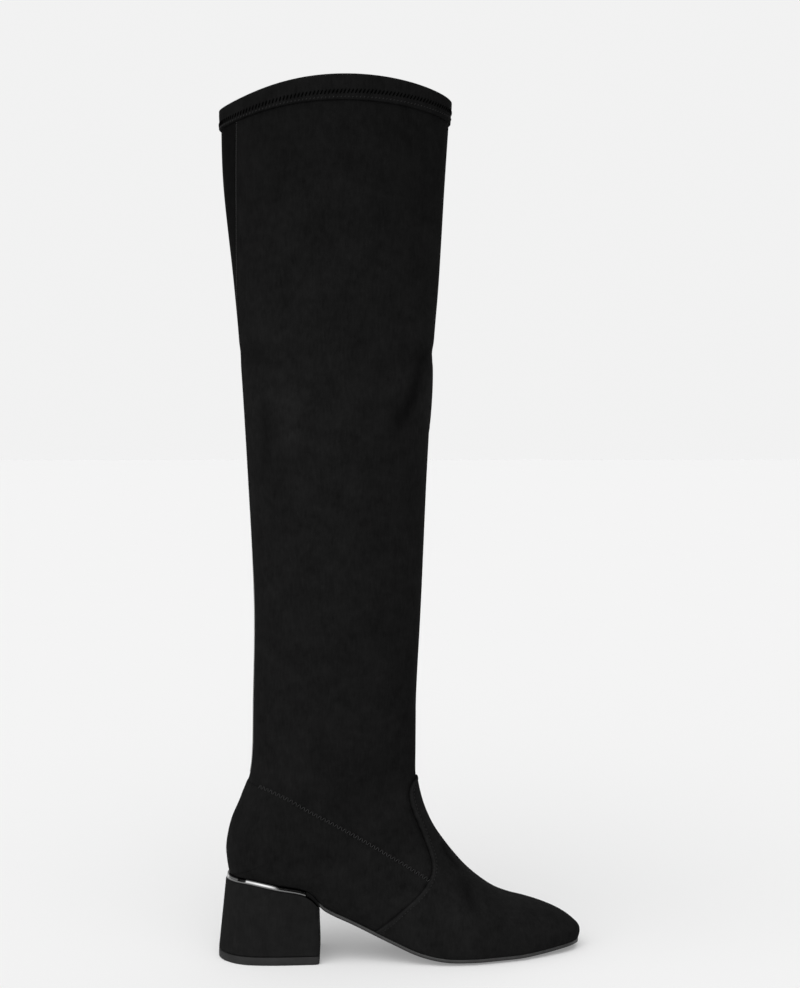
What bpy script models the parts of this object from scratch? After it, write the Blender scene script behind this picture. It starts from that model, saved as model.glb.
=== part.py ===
"""Tall over-the-knee boot with a block heel, right foot, standing on its own sole.

Metres, +Z up, +X to the toe, +Y to the inner side of the foot. The origin is on the floor,
at the middle of the heel's top lift. Sizes and tables below are in millimetres.
"""

import bmesh
import bpy
import numpy as np

MM = 0.001
OBJECT_NAME = "tall_boot"

# Walls, gaps and layers
GAP = 0.3
UPPER_WALL = 1.6
QUARTER_WALL = 0.7
VAMP_WALL = 1.2
HEM_WALL = 1.2
HEM_DEPTH = 17.0
INSOLE_THICKNESS = 2.4
INSOLE_CLEARANCE = 0.8
SOLE_EDGE = 2.7
SOLE_EDGE_BEVEL = 0.6
TREAD_SHARE = 0.62
SOLE_MARGIN = 1.9

# Heel
LIFT_THICKNESS = 6.0
LIFT_BACK_X = -35.6
LIFT_FRONT_X = 35.6
LIFT_HALF_WIDTH = 29.5
HEEL_TOP_BACK_X = -31.5
HEEL_TOP_FRONT_X = 34.6
HEEL_MARGIN = 2.7
STRIP_MARGIN = 3.0
STRIP_WIDTH = 2.2
STRIP_HEIGHT = 3.3
STRIP_FRONT_X = 26.0
HEEL_EDGE_ROUND = 0.8

# How much flatter than an ellipse a low ridge is, how far the foot's wall turns in over the sole, and
# how much faster the topline falls towards the back than towards the front
RIDGE_FLATNESS = 0.7
TUCK_TURN = 0.9
BACK_FALL = 2.2

# Where insole, outsole and heel seat begin and end along the foot
SEAT_BACK_X = -28.0
LAYERS_BACK_X = -27.0
INSOLE_FRONT_X = 224.0
OUTSOLE_FRONT_X = 225.2

# How far the panel cutters reach past the boot
CUT_HALF_DEPTH = 90.0
CUT_BELOW_Z = -20.0
CUT_ABOVE_Z = 140.0
CUT_AHEAD_X = 260.0
CUT_PEAK_AHEAD = 25.0

# Edges sharper than these angles stay crisp in shading, or are rounded
CRISP_ANGLE = np.radians(35.0)
ROUNDED_ANGLE = np.radians(50.0)

# Closed rings of the shaft, from the topline down to the back corner of the heel seat.
# front_x, front_z: point on the shin. back_x, back_z: point on the back.
# half_width: to either side. widest: where the ring is widest, as a share from front to back.
# side_rise: how much higher the sides stand than front and back.
RING_COLUMNS = ("front_x", "front_z", "back_x", "back_z", "half_width", "widest", "side_rise")
RINGS = (
    (130.6, 620.5, -34.0, 613.0, 49.0, 0.50, 13.6),
    (126.6, 560.0, -32.4, 560.0, 49.0, 0.50, 4.5),
    (122.4, 490.0, -25.1, 490.0, 48.5, 0.50, 0.0),
    (117.8, 433.0, -20.2, 433.0, 47.5, 0.50, 0.0),
    (113.5, 347.0, -15.0, 347.0, 46.5, 0.50, 0.0),
    (109.6, 258.0, -10.6, 258.0, 41.0, 0.50, 0.0),
    (106.3, 196.0, -11.4, 190.0, 36.0, 0.50, 0.0),
    (105.8, 168.0, -12.9, 141.0, 34.0, 0.53, 0.0),
    (105.7, 157.0, -20.2, 117.0, 33.4, 0.60, 0.0),
    (105.6, 148.0, -27.3, 100.0, 32.8, 0.67, 0.0),
    (105.5, 141.0, -30.9, 83.0, 32.0, 0.72, 0.0),
    (105.5, 135.0, -30.4, 71.0, 31.5, 0.76, 0.0),
    (105.8, 130.0, -28.8, 61.6, 31.2, 0.78, 0.0),
)

# Open sections of the foot, from the heel seat to the toe tip.
# top_x, top_z, ridge_y: point on the ridge. base_x, base_z: where the section meets the sole.
# outer_max, inner_max: widest points. outer_edge, inner_edge: where the wall meets the sole.
FOOT_COLUMNS = (
    "top_x", "top_z", "ridge_y", "base_x", "base_z",
    "outer_max", "inner_max", "outer_edge", "inner_edge", "widest",
)
FOOT = (
    (106.2, 126.5, 0.0, -24.9, 61.5, -31.1, 31.1, -13.0, 13.0, 0.79),
    (107.5, 120.0, 0.0, -14.0, 61.2, -31.0, 31.0, -23.0, 23.0, 0.80),
    (110.1, 110.6, 0.3, 4.0, 57.6, -31.0, 31.0, -26.0, 26.0, 0.80),
    (114.0, 100.5, 0.8, 27.0, 52.6, -31.0, 31.0, -25.4, 24.6, 0.79),
    (118.9, 91.0, 1.4, 40.0, 40.8, -31.3, 30.0, -24.8, 22.0, 0.77),
    (126.0, 80.7, 2.2, 62.0, 30.1, -32.5, 29.5, -25.4, 18.6, 0.75),
    (134.0, 70.4, 3.2, 87.0, 18.1, -34.5, 32.0, -28.5, 22.0, 0.76),
    (142.7, 60.5, 4.4, 107.0, 9.6, -36.5, 37.5, -32.0, 30.0, 0.77),
    (153.2, 51.1, 5.8, 126.0, 5.6, -37.5, 42.0, -34.5, 37.5, 0.76),
    (164.6, 43.0, 7.2, 146.0, 4.8, -36.0, 45.0, -33.5, 42.0, 0.74),
    (175.8, 38.2, 8.6, 165.0, 4.8, -31.3, 44.0, -29.0, 42.0, 0.72),
    (187.4, 35.1, 10.0, 182.0, 4.9, -25.6, 41.0, -23.8, 39.4, 0.70),
    (198.1, 31.7, 11.2, 197.5, 5.6, -17.4, 37.4, -15.9, 36.0, 0.68),
    (207.6, 28.0, 12.0, 210.0, 6.5, -9.8, 32.6, -8.6, 31.6, 0.66),
    (215.6, 24.0, 12.4, 218.2, 7.1, -3.6, 27.6, -2.8, 26.8, 0.65),
    (222.0, 19.5, 12.5, 223.0, 7.3, 2.6, 22.2, 3.0, 21.8, 0.65),
    (227.0, 14.0, 12.5, 225.3, 7.3, 7.6, 17.4, 7.8, 17.2, 0.65),
    (226.0, 7.3, 12.5, 226.0, 7.3, 12.5, 12.5, 12.5, 12.5, 0.65),
)

# How far the tread stands below the edge of the sole, along the foot. Columns: x, crown.
CROWN = ((36.0, 0.0), (70.0, 0.8), (118.0, 2.0), (186.0, 2.0), (222.0, 0.8))

# The vamp's edge from its peak on the instep to the sole, seen from the side. Columns: x, z.
VAMP_EDGE = (
    (106.9, 131.4), (101.8, 127.6), (99.4, 120.5), (101.2, 109.8), (107.0, 95.4), (111.9, 83.3),
    (115.4, 72.8), (115.3, 64.8), (111.6, 57.3), (104.5, 48.9), (96.0, 41.8), (85.4, 32.3), (70.0, 19.0),
)

# The quarter's upper edge from the back of the heel to the vamp, seen from the side. Columns: x, z.
QUARTER_EDGE = (
    (-60.0, 130.0), (-12.0, 128.0), (10.7, 121.5), (28.5, 111.5), (48.5, 100.1), (90.4, 74.8), (122.0, 54.6),
)

# How finely the shell is cut: sections per table row, and columns to one side
SHAFT_STEPS = 2
FOOT_STEPS = 1.5
SIDE_COLUMNS = 14
EDGE_STEPS = 4
BASE_SAMPLES = 400

SECTION_COLUMNS = (*FOOT_COLUMNS, "side_rise")
SEAT_ROW = len(RINGS) - 1
LAST_ROW = len(RINGS) + len(FOOT) - 1
ROUND_HEEL_ROWS = 3
VAMP_FIRST_ROW = 9
QUARTER_FIRST_ROW = 6
QUARTER_LAST_ROW = SEAT_ROW + 8


def section_table():
    """All sections in one array, the rings written with the columns of the foot and their side rise."""
    rows = []
    for line in RINGS:
        ring = dict(zip(RING_COLUMNS, line))
        ridge = (ring["front_x"], ring["front_z"], 0.0)
        back = (ring["back_x"], ring["back_z"])
        sides = (-ring["half_width"], ring["half_width"])
        rows.append((*ridge, *back, *sides, 0.0, 0.0, ring["widest"], ring["side_rise"]))
    rows.extend((*line, 0.0) for line in FOOT)
    return np.array(rows)


def section_slopes(table):
    """Slopes on arriving at and on leaving each row. The base line turns a corner at the heel seat."""
    arriving = np.gradient(table, axis=0)
    leaving = arriving.copy()
    top_x, base_x = SECTION_COLUMNS.index("top_x"), SECTION_COLUMNS.index("base_x")
    base = [SECTION_COLUMNS.index(name) for name in ("base_x", "base_z", "outer_edge", "inner_edge")]
    arriving[SEAT_ROW, base] = np.gradient(table[: SEAT_ROW + 1], axis=0)[-1, base]
    leaving[SEAT_ROW, base] = np.gradient(table[SEAT_ROW:], axis=0)[0, base]
    leaving[SEAT_ROW, base_x] = 0.0
    arriving[LAST_ROW, [top_x, base_x]] = 0.0
    return arriving, leaving


TABLE = section_table()
ARRIVING, LEAVING = section_slopes(TABLE)


def section_at(row):
    """Section values by column name, on smooth cubics through the table, and their slopes along the rows."""
    row = np.clip(np.asarray(row, float), 0.0, LAST_ROW)
    start = np.minimum(np.ceil(row).astype(int) - 1, LAST_ROW - 1).clip(0)
    t = (row - start)[..., None]
    a, b = TABLE[start], TABLE[start + 1]
    slope_a, slope_b = LEAVING[start], ARRIVING[start + 1]
    value = (2 * t**3 - 3 * t**2 + 1) * a + (3 * t**2 - 2 * t**3) * b
    value = value + (t**3 - 2 * t**2 + t) * slope_a + (t**3 - t**2) * slope_b
    slope = (6 * t**2 - 6 * t) * (a - b) + (3 * t**2 - 4 * t + 1) * slope_a + (3 * t**2 - 2 * t) * slope_b
    return tuple(dict(zip(SECTION_COLUMNS, np.moveaxis(table, -1, 0))) for table in (value, slope))


def unit(x, z):
    """A two-part direction at length one."""
    length = np.maximum(np.hypot(x, z), 1e-9)
    return x / length, z / length


BASE_ROWS = np.linspace(SEAT_ROW, LAST_ROW, BASE_SAMPLES)
BASE_X = section_at(BASE_ROWS)[0]["base_x"]
BASE_Z = section_at(BASE_ROWS)[0]["base_z"]


def base_height(x):
    """Height of the line where the upper meets the sole."""
    return np.interp(x, BASE_X, BASE_Z)


def base_point(row, side, grow):
    """Where the wall meets the sole, or the back of a ring, on the form grown outwards by grow.

    The last value is how far the widest point beside it goes out with that growth, as a share.
    """
    row = np.asarray(row, float)
    value, slope = section_at(row)
    edge = np.where(side < 0, value["outer_edge"], value["inner_edge"])
    edge_slope = np.where(side < 0, slope["outer_edge"], slope["inner_edge"])
    back_x, back_z = unit(slope["base_z"], -slope["base_x"])
    plan_x, plan_y = unit(-side * edge_slope, side * slope["base_x"])
    closed = row <= SEAT_ROW
    x = value["base_x"] + grow * np.where(closed, back_x, plan_x)
    y = np.where(closed, 0.0, edge + grow * plan_y)
    z = np.where(row < SEAT_ROW, value["base_z"] + grow * back_z, base_height(x))
    reach = np.where(row <= SEAT_ROW + ROUND_HEEL_ROWS, 1.0, np.abs(plan_y))
    return x, y, z, reach


def tuck_turn(row):
    """How far a section turns in below its widest point: a full quarter on rings, less on the open foot."""
    opened = np.clip(row - SEAT_ROW, 0.0, 1.0)
    return np.pi / 2 + (TUCK_TURN - np.pi / 2) * opened**2 * (3.0 - 2.0 * opened)


def upper_point(row, around, grow=0.0):
    """A point of the boot's form, in millimetres.

    row runs down the sections. around runs from -1, the outer edge at the sole or the back of a ring,
    over the ridge at 0 to 1 on the inner side. grow moves the wall outwards, never below the sole line.
    """
    row, around = np.broadcast_arrays(np.asarray(row, float), np.asarray(around, float))
    value, slope = section_at(row)
    side = np.where(around < 0, -1.0, 1.0)
    share = np.abs(around)
    out_x, out_z = unit(-slope["top_z"], slope["top_x"])
    top_x = value["top_x"] + grow * out_x
    top_z = value["top_z"] + grow * out_z
    base_x, edge, base_z, reach = base_point(row, side, grow)
    ridge, widest = value["ridge_y"], value["widest"]
    outmost = np.where(side < 0, value["outer_max"], value["inner_max"]) + side * grow * reach
    roundness = 1.0 - RIDGE_FLATNESS * (widest - 0.5)
    quarter_turn = np.clip(share / widest, 0.0, 1.0) * np.pi / 2
    sine = np.clip(np.sin(quarter_turn), 0.0, 1.0)
    cosine = np.clip(np.cos(quarter_turn), 0.0, 1.0)
    last_turn = tuck_turn(row)
    tuck = np.clip((share - widest) / (1.0 - widest), 0.0, 1.0) * last_turn
    tuck_in = (1.0 - np.cos(tuck)) / (1.0 - np.cos(last_turn))
    tuck_down = np.sin(tuck) / np.sin(last_turn)
    upper = share <= widest
    y = np.where(upper, ridge + (outmost - ridge) * sine**roundness, outmost + (edge - outmost) * tuck_in)
    down = np.where(upper, widest * (1.0 - cosine**roundness), widest + (1.0 - widest) * tuck_down)
    x = top_x + (base_x - top_x) * down
    arch = np.sin(np.pi * share) ** (2.0 + BACK_FALL * np.clip(share - 0.5, 0.0, 0.5))
    z = top_z + (base_z - top_z) * down + value["side_rise"] * arch
    return np.stack([x, y, z], axis=-1)


def rows_between(first, last):
    """Section rows of the cut form from first to last: the shaft and the foot each at its own step."""
    shaft = np.arange(0, SEAT_ROW * SHAFT_STEPS + 1) / SHAFT_STEPS
    steps = int(round((LAST_ROW - SEAT_ROW) * FOOT_STEPS))
    foot = np.linspace(SEAT_ROW, LAST_ROW, steps + 1)[1:]
    rows = np.concatenate([shaft, foot])
    return rows[(rows >= first - 1e-9) & (rows <= last + 1e-9)]


def columns_around():
    """Column places from the outer edge over the ridge to the inner edge."""
    return np.linspace(-1.0, 1.0, 2 * SIDE_COLUMNS + 1)


def smooth_line(points, steps):
    """Points on a smooth cubic through a short list of points."""
    points = np.array(points)
    slopes = np.gradient(points, axis=0)
    line = []
    for a, b, slope_a, slope_b in zip(points, points[1:], slopes, slopes[1:]):
        for t in np.arange(steps) / steps:
            near = (2 * t**3 - 3 * t**2 + 1) * a + (t**3 - 2 * t**2 + t) * slope_a
            far = (3 * t**2 - 2 * t**3) * b + (t**3 - t**2) * slope_b
            line.append(near + far)
    line.append(points[-1])
    return np.array(line)


def clear_scene():
    """Remove every object of the scene that is open."""
    for thing in list(bpy.data.objects):
        bpy.data.objects.remove(thing, do_unlink=True)


def collection(name):
    """A collection of this name under the scene."""
    group = bpy.data.collections.get(name) or bpy.data.collections.new(name)
    if group.name not in bpy.context.scene.collection.children:
        bpy.context.scene.collection.children.link(group)
    return group


def finish(name, colour, roughness, metallic=0.0):
    """A plain material for one piece."""
    material = bpy.data.materials.new(name)
    material.use_nodes = True
    shader = material.node_tree.nodes["Principled BSDF"]
    shader.inputs["Base Color"].default_value = (*colour, 1.0)
    shader.inputs["Roughness"].default_value = roughness
    shader.inputs["Metallic"].default_value = metallic
    return material


def add_mesh(name, bm, group, material=None):
    """Close the mesh, turn its faces outwards and make an object of it."""
    bmesh.ops.remove_doubles(bm, verts=bm.verts, dist=1e-6)
    bmesh.ops.recalc_face_normals(bm, faces=bm.faces)
    mesh = bpy.data.meshes.new(name)
    bm.to_mesh(mesh)
    bm.free()
    mesh.shade_smooth()
    mesh.set_sharp_from_angle(angle=CRISP_ANGLE)
    thing = bpy.data.objects.new(name, mesh)
    group.objects.link(thing)
    if material:
        mesh.materials.append(material)
    return thing


def vertex_grid(bm, points):
    """Vertices of a grid of points in millimetres."""
    return [[bm.verts.new(point * MM) for point in line] for line in points]


def join_lines(bm, line_a, line_b):
    """Triangles between two lines of vertices, split alike on every form so that walls stay parallel."""
    for a, b, c, d in zip(line_a, line_a[1:], line_b[1:], line_b):
        bm.faces.new((a, b, c))
        bm.faces.new((a, c, d))


def wall(name, rows, inside, outside, group, material):
    """A wall of the boot's form between two growths, over a run of sections."""
    grid_rows, grid_columns = np.meshgrid(rows, columns_around(), indexing="ij")
    bm = bmesh.new()
    outer = vertex_grid(bm, upper_point(grid_rows, grid_columns, outside))
    inner = vertex_grid(bm, upper_point(grid_rows, grid_columns, inside))
    for skin in (outer, inner):
        for line_a, line_b in zip(skin, skin[1:]):
            join_lines(bm, line_a[SIDE_COLUMNS::-1], line_b[SIDE_COLUMNS::-1])
            join_lines(bm, line_a[SIDE_COLUMNS:], line_b[SIDE_COLUMNS:])
    join_lines(bm, outer[0], inner[0])
    if rows[-1] < LAST_ROW:
        join_lines(bm, outer[-1], inner[-1])
    opened = [index for index, row in enumerate(rows) if row >= SEAT_ROW]
    for column in (0, -1):
        rim_out = [outer[index][column] for index in opened]
        rim_in = [inner[index][column] for index in opened]
        join_lines(bm, rim_out, rim_in)
    return add_mesh(name, bm, group, material)


def cap(bm, ring):
    """Close a ring across its width, pair by pair, so that a curved end stays even."""
    last = len(ring) - 1
    for near in range(last // 2):
        far = last - near
        bm.faces.new(dict.fromkeys((ring[near], ring[near + 1], ring[far - 1], ring[far])))


def loft(name, loops, group, material, flat_ends=False):
    """A closed body through a run of loops with the same number of points."""
    bm = bmesh.new()
    rings = [[bm.verts.new(np.array(point) * MM) for point in loop] for loop in loops]
    for ring_a, ring_b in zip(rings, rings[1:]):
        join_lines(bm, ring_a + ring_a[:1], ring_b + ring_b[:1])
    for ring in (rings[0], rings[-1]):
        if flat_ends:
            bm.faces.new(ring)
        else:
            cap(bm, ring)
    return add_mesh(name, bm, group, material)


def prism(name, outline, group):
    """A cutter with a side outline, through the whole width of the boot."""
    near = [(x, -CUT_HALF_DEPTH, z) for x, z in outline]
    far = [(x, CUT_HALF_DEPTH, z) for x, z in outline]
    cutter = loft(name, [near, far], group, None, flat_ends=True)
    cutter.hide_render = True
    cutter.display_type = "WIRE"
    return cutter


def keep_inside(thing, cutter):
    """Keep what lies inside the cutter."""
    cut = thing.modifiers.new("panel outline", "BOOLEAN")
    cut.operation = "INTERSECT"
    cut.solver = "EXACT"
    cut.object = cutter


def take_away(thing, cutter):
    """Cut the cutter out of a piece."""
    cut = thing.modifiers.new("clearance", "BOOLEAN")
    cut.operation = "DIFFERENCE"
    cut.solver = "EXACT"
    cut.object = cutter


def round_edges(thing, width):
    """Round the sharp edges of a rigid piece."""
    bevel = thing.modifiers.new("rounded edges", "BEVEL")
    bevel.width = width * MM
    bevel.segments = 2
    bevel.limit_method = "ANGLE"
    bevel.angle_limit = ROUNDED_ANGLE


def row_at_x(x):
    """The foot section that meets the sole at this place along the foot."""
    return float(np.interp(x, BASE_X, BASE_ROWS))


def foot_rows(from_x, to_x):
    """The shell's own foot sections that meet the sole between two places along the foot."""
    rows = rows_between(SEAT_ROW, LAST_ROW)
    base_x = section_at(rows)[0]["base_x"]
    return [float(row) for row, x in zip(rows, base_x) if from_x < x < to_x]


def edge_point(row, side, grow):
    """Where the cut shell meets the sole: straight between the shell's own sections."""
    rows = rows_between(SEAT_ROW, LAST_ROW)
    points = np.stack(base_point(rows, side, grow)[:3])
    return tuple(float(np.interp(row, rows, line)) for line in points)


def heel_top_z(x):
    """Height of the heel block's top, which follows the shell's lower edge below the strip."""
    seat = section_at(rows_between(SEAT_ROW, LAST_ROW))[0]
    return float(np.interp(x, seat["base_x"], seat["base_z"])) - STRIP_HEIGHT - 2 * GAP


def shifted(line, distance):
    """A line in side view moved sideways, to its left as it runs."""
    along = np.gradient(line, axis=0)
    left_x, left_z = unit(-along[:, 1], along[:, 0])
    return line + distance * np.stack([left_x, left_z], axis=1)


def vamp_outline(gap=0.0):
    """The vamp's outline from the side, closed round the toe, with its sewn edge moved back by gap."""
    edge = shifted(smooth_line(VAMP_EDGE, EDGE_STEPS), -gap)
    under = [(edge[-1][0], CUT_BELOW_Z), (CUT_AHEAD_X, CUT_BELOW_Z)]
    return [*edge, *under, (CUT_AHEAD_X, CUT_ABOVE_Z), (edge[0][0] + CUT_PEAK_AHEAD, CUT_ABOVE_Z)]


def quarter_outline():
    """What lies below the quarter's upper edge, from the side."""
    edge = smooth_line(QUARTER_EDGE, EDGE_STEPS)
    return [*edge, (edge[-1][0], CUT_BELOW_Z), (edge[0][0], CUT_BELOW_Z)]


def make_upper(group, cutters):
    """The hollow shell and the panels that lie over it."""
    suede = finish("black_suede", (0.008, 0.008, 0.008), 0.95)
    hem_row = HEM_DEPTH / (RINGS[0][1] - RINGS[1][1])
    wall("upper", rows_between(0, LAST_ROW), -UPPER_WALL, 0.0, group, suede)
    wall("hem", np.array([0.0, hem_row]), GAP, GAP + HEM_WALL, group, suede)
    vamp = wall("vamp", rows_between(VAMP_FIRST_ROW, LAST_ROW), GAP, GAP + VAMP_WALL, group, suede)
    keep_inside(vamp, prism("vamp_outline", vamp_outline(), cutters))
    quarter_rows = rows_between(QUARTER_FIRST_ROW, QUARTER_LAST_ROW)
    quarter = wall("quarter", quarter_rows, GAP, GAP + QUARTER_WALL, group, suede)
    keep_inside(quarter, prism("quarter_outline", quarter_outline(), cutters))
    take_away(quarter, prism("vamp_clearance", vamp_outline(GAP), cutters))


def make_insole(group):
    """The insole, inside the wall and over the sole."""
    inset = UPPER_WALL + INSOLE_CLEARANCE
    loops = []
    for row in foot_rows(LAYERS_BACK_X, INSOLE_FRONT_X):
        outer_x, outer_y, z = edge_point(row, -1.0, -inset)
        inner_x, inner_y, z = edge_point(row, 1.0, -inset)
        low, top = z + GAP, z + GAP + INSOLE_THICKNESS
        outer_face = [(outer_x, outer_y, top), (outer_x, outer_y, low)]
        inner_face = [(inner_x, inner_y, low), (inner_x, inner_y, top)]
        loops.append(outer_face + inner_face)
    loft("insole", loops, group, finish("insole_board", (0.03, 0.028, 0.026), 0.8))


def sole_loop(row, margin, thickness, crown):
    """One section of the outsole: its top, its edges and its tread."""
    outer_x, outer_y, outer_z = edge_point(row, -1.0, margin)
    inner_x, inner_y, inner_z = edge_point(row, 1.0, margin)
    outer_top, inner_top = outer_z - GAP, inner_z - GAP
    outer_low, inner_low = outer_top - thickness, inner_top - thickness
    middle_low = (outer_low + inner_low) / 2
    tread = max(0.0, middle_low - crown) if crown else middle_low
    middle, half = (outer_y + inner_y) / 2, (inner_y - outer_y) / 2
    low_half, tread_half = half - SOLE_EDGE_BEVEL, half * TREAD_SHARE
    middle_x = (outer_x + inner_x) / 2
    return [
        (outer_x, outer_y, outer_top), (inner_x, inner_y, inner_top),
        (inner_x, middle + low_half, inner_low), (middle_x, middle + tread_half, tread),
        (middle_x, middle - tread_half, tread), (outer_x, middle - low_half, outer_low),
    ]


def make_outsole(group):
    """One sole: thin over the heel, inside the strip, then free over arch, tread and toe."""
    seat_margin = STRIP_MARGIN - STRIP_WIDTH - GAP
    crown_x, crown_z = np.array(CROWN).T

    def on_heel(row, margin):
        base_x, _, base_z = edge_point(row, -1.0, margin)
        return sole_loop(row, margin, base_z - 2 * GAP - heel_top_z(base_x), 0.0)

    loops = [on_heel(row, seat_margin) for row in foot_rows(LAYERS_BACK_X, STRIP_FRONT_X - 1.0)]
    loops.append(on_heel(row_at_x(STRIP_FRONT_X), seat_margin))
    breast_rows = foot_rows(STRIP_FRONT_X + GAP, HEEL_TOP_FRONT_X - 1.0)
    for row in [row_at_x(STRIP_FRONT_X + GAP), *breast_rows, row_at_x(HEEL_TOP_FRONT_X)]:
        loops.append(on_heel(row, SOLE_MARGIN))
    free_x = LIFT_FRONT_X + GAP
    for row in [row_at_x(free_x), *foot_rows(free_x + 1.0, OUTSOLE_FRONT_X)]:
        crown = float(np.interp(section_at(row)[0]["base_x"], crown_x, crown_z))
        loops.append(sole_loop(row, SOLE_MARGIN, SOLE_EDGE, crown))
    loft("outsole", loops, group, finish("sole_rubber", (0.045, 0.045, 0.045), 0.6))


def seat_path(to_x, margin):
    """Rows and sides round the heel seat, from its outer front round the back to its inner front."""
    rows = [*foot_rows(SEAT_BACK_X, to_x - 1.0), row_at_x(to_x)]
    path = [(row, -1.0) for row in reversed(rows)]
    path.append((float(SEAT_ROW), 1.0))
    path.extend((row, 1.0) for row in rows)
    return [edge_point(row, side, margin) for row, side in path]


def make_heel(group):
    """Metal strip, covered block and rubber lift."""
    strip = []
    outside = seat_path(STRIP_FRONT_X - GAP, STRIP_MARGIN)
    inside = seat_path(STRIP_FRONT_X - GAP, STRIP_MARGIN - STRIP_WIDTH)
    for (x_out, y_out, z_out), (x_in, y_in, z_in) in zip(outside, inside):
        low_out, low_in = heel_top_z(x_out) + GAP, heel_top_z(x_in) + GAP
        outer_face = [(x_out, y_out, low_out), (x_out, y_out, z_out - GAP)]
        inner_face = [(x_in, y_in, z_in - GAP), (x_in, y_in, low_in)]
        strip.append(outer_face + inner_face)
    loft("heel_strip", strip, group, finish("polished_steel", (0.6, 0.6, 0.62), 0.12, 1.0))
    top, bottom, floor = [], [], []
    half_width = max(abs(y) for _, y, _ in seat_path(HEEL_TOP_FRONT_X, HEEL_MARGIN))
    for x, y, _ in seat_path(HEEL_TOP_FRONT_X, HEEL_MARGIN):
        share = (x - HEEL_TOP_BACK_X) / (HEEL_TOP_FRONT_X - HEEL_TOP_BACK_X)
        low_x = LIFT_BACK_X + share * (LIFT_FRONT_X - LIFT_BACK_X)
        low_y = y * LIFT_HALF_WIDTH / half_width
        top.append((x, y, heel_top_z(x)))
        bottom.append((low_x, low_y, LIFT_THICKNESS + GAP))
        floor.append((low_x, low_y, 0.0))
    block = loft("heel_block", [bottom, top], group, finish("heel_suede", (0.011, 0.011, 0.011), 0.9))
    round_edges(block, HEEL_EDGE_ROUND)
    lift_top = [(x, y, LIFT_THICKNESS) for x, y, _ in floor]
    lift = loft("top_lift", [floor, lift_top], group, finish("lift_rubber", (0.03, 0.03, 0.03), 0.7))
    round_edges(lift, HEEL_EDGE_ROUND)


def main():
    """Build every piece of the boot."""
    clear_scene()
    group = collection(OBJECT_NAME)
    cutters = collection("cutters")
    make_upper(group, cutters)
    make_insole(group)
    make_outsole(group)
    make_heel(group)


main()
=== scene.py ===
"""Looks of a tall suede boot, right foot: skins, panels, seams, sole, heel and a plain studio.

Metres in the scene, millimetres in the tables. +X to the toe, +Y to the inner side, +Z up.
"""

import logging
import math
from collections.abc import Callable, Sequence
from dataclasses import dataclass, field
from enum import Enum

import bmesh
import bpy
import numpy as np
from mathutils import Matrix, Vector


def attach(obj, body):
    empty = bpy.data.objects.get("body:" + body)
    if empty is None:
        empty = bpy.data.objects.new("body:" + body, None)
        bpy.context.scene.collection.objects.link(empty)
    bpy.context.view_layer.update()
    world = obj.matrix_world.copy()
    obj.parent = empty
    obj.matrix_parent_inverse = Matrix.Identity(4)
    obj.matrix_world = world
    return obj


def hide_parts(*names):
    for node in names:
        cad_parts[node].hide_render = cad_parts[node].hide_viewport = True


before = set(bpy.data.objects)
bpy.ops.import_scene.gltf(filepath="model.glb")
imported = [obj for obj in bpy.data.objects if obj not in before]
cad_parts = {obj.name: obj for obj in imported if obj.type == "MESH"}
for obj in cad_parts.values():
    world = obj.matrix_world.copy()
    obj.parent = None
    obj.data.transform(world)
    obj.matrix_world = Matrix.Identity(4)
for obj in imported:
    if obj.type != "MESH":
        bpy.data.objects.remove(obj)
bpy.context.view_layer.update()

MM = 0.001
WALL = 1.6
WELD_M = 2e-6
EMPTY_EDGE_M = 1e-6
ROOT = "root"
Array = np.ndarray
Material = bpy.types.Material
Piece = bpy.types.Object
Socket = bpy.types.NodeSocket
LOG = logging.getLogger("tall_boot")


class Slot(Enum):
    """Material slots of the record."""

    SUEDE = "suede"
    INSOLE = "insole"
    SOLE = "sole"
    STRIP = "strip"
    HEEL = "heel_cover"
    LIFT = "lift"


@dataclass(frozen=True)
class Crease:
    """A soft trough or ridge of the upper, given one by one.

    path holds places as (row, around). depth goes inwards in millimetres, and is negative for a ridge.
    width is the half width in millimetres.
    """

    path: tuple[tuple[float, float], ...]
    depth: float
    width: float


RING_COLUMNS = ("front_x", "front_z", "back_x", "back_z", "half_width", "widest", "side_rise")
RINGS = (
    (130.6, 620.5, -34.0, 613.0, 49.0, 0.50, 13.6),
    (126.6, 560.0, -32.4, 560.0, 49.0, 0.50, 4.5),
    (122.4, 490.0, -25.1, 490.0, 48.5, 0.50, 0.0),
    (117.8, 433.0, -20.2, 433.0, 47.5, 0.50, 0.0),
    (113.5, 347.0, -15.0, 347.0, 46.5, 0.50, 0.0),
    (109.6, 258.0, -10.6, 258.0, 41.0, 0.50, 0.0),
    (106.3, 196.0, -11.4, 190.0, 36.0, 0.50, 0.0),
    (105.8, 168.0, -12.9, 141.0, 34.0, 0.53, 0.0),
    (105.7, 157.0, -20.2, 117.0, 33.4, 0.60, 0.0),
    (105.6, 148.0, -27.3, 100.0, 32.8, 0.67, 0.0),
    (105.5, 141.0, -30.9, 83.0, 32.0, 0.72, 0.0),
    (105.5, 135.0, -30.4, 71.0, 31.5, 0.76, 0.0),
    (105.8, 130.0, -28.8, 61.6, 31.2, 0.78, 0.0),
)
FOOT_COLUMNS = (
    "top_x", "top_z", "ridge_y", "base_x", "base_z",
    "outer_max", "inner_max", "outer_edge", "inner_edge", "widest",
)
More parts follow.
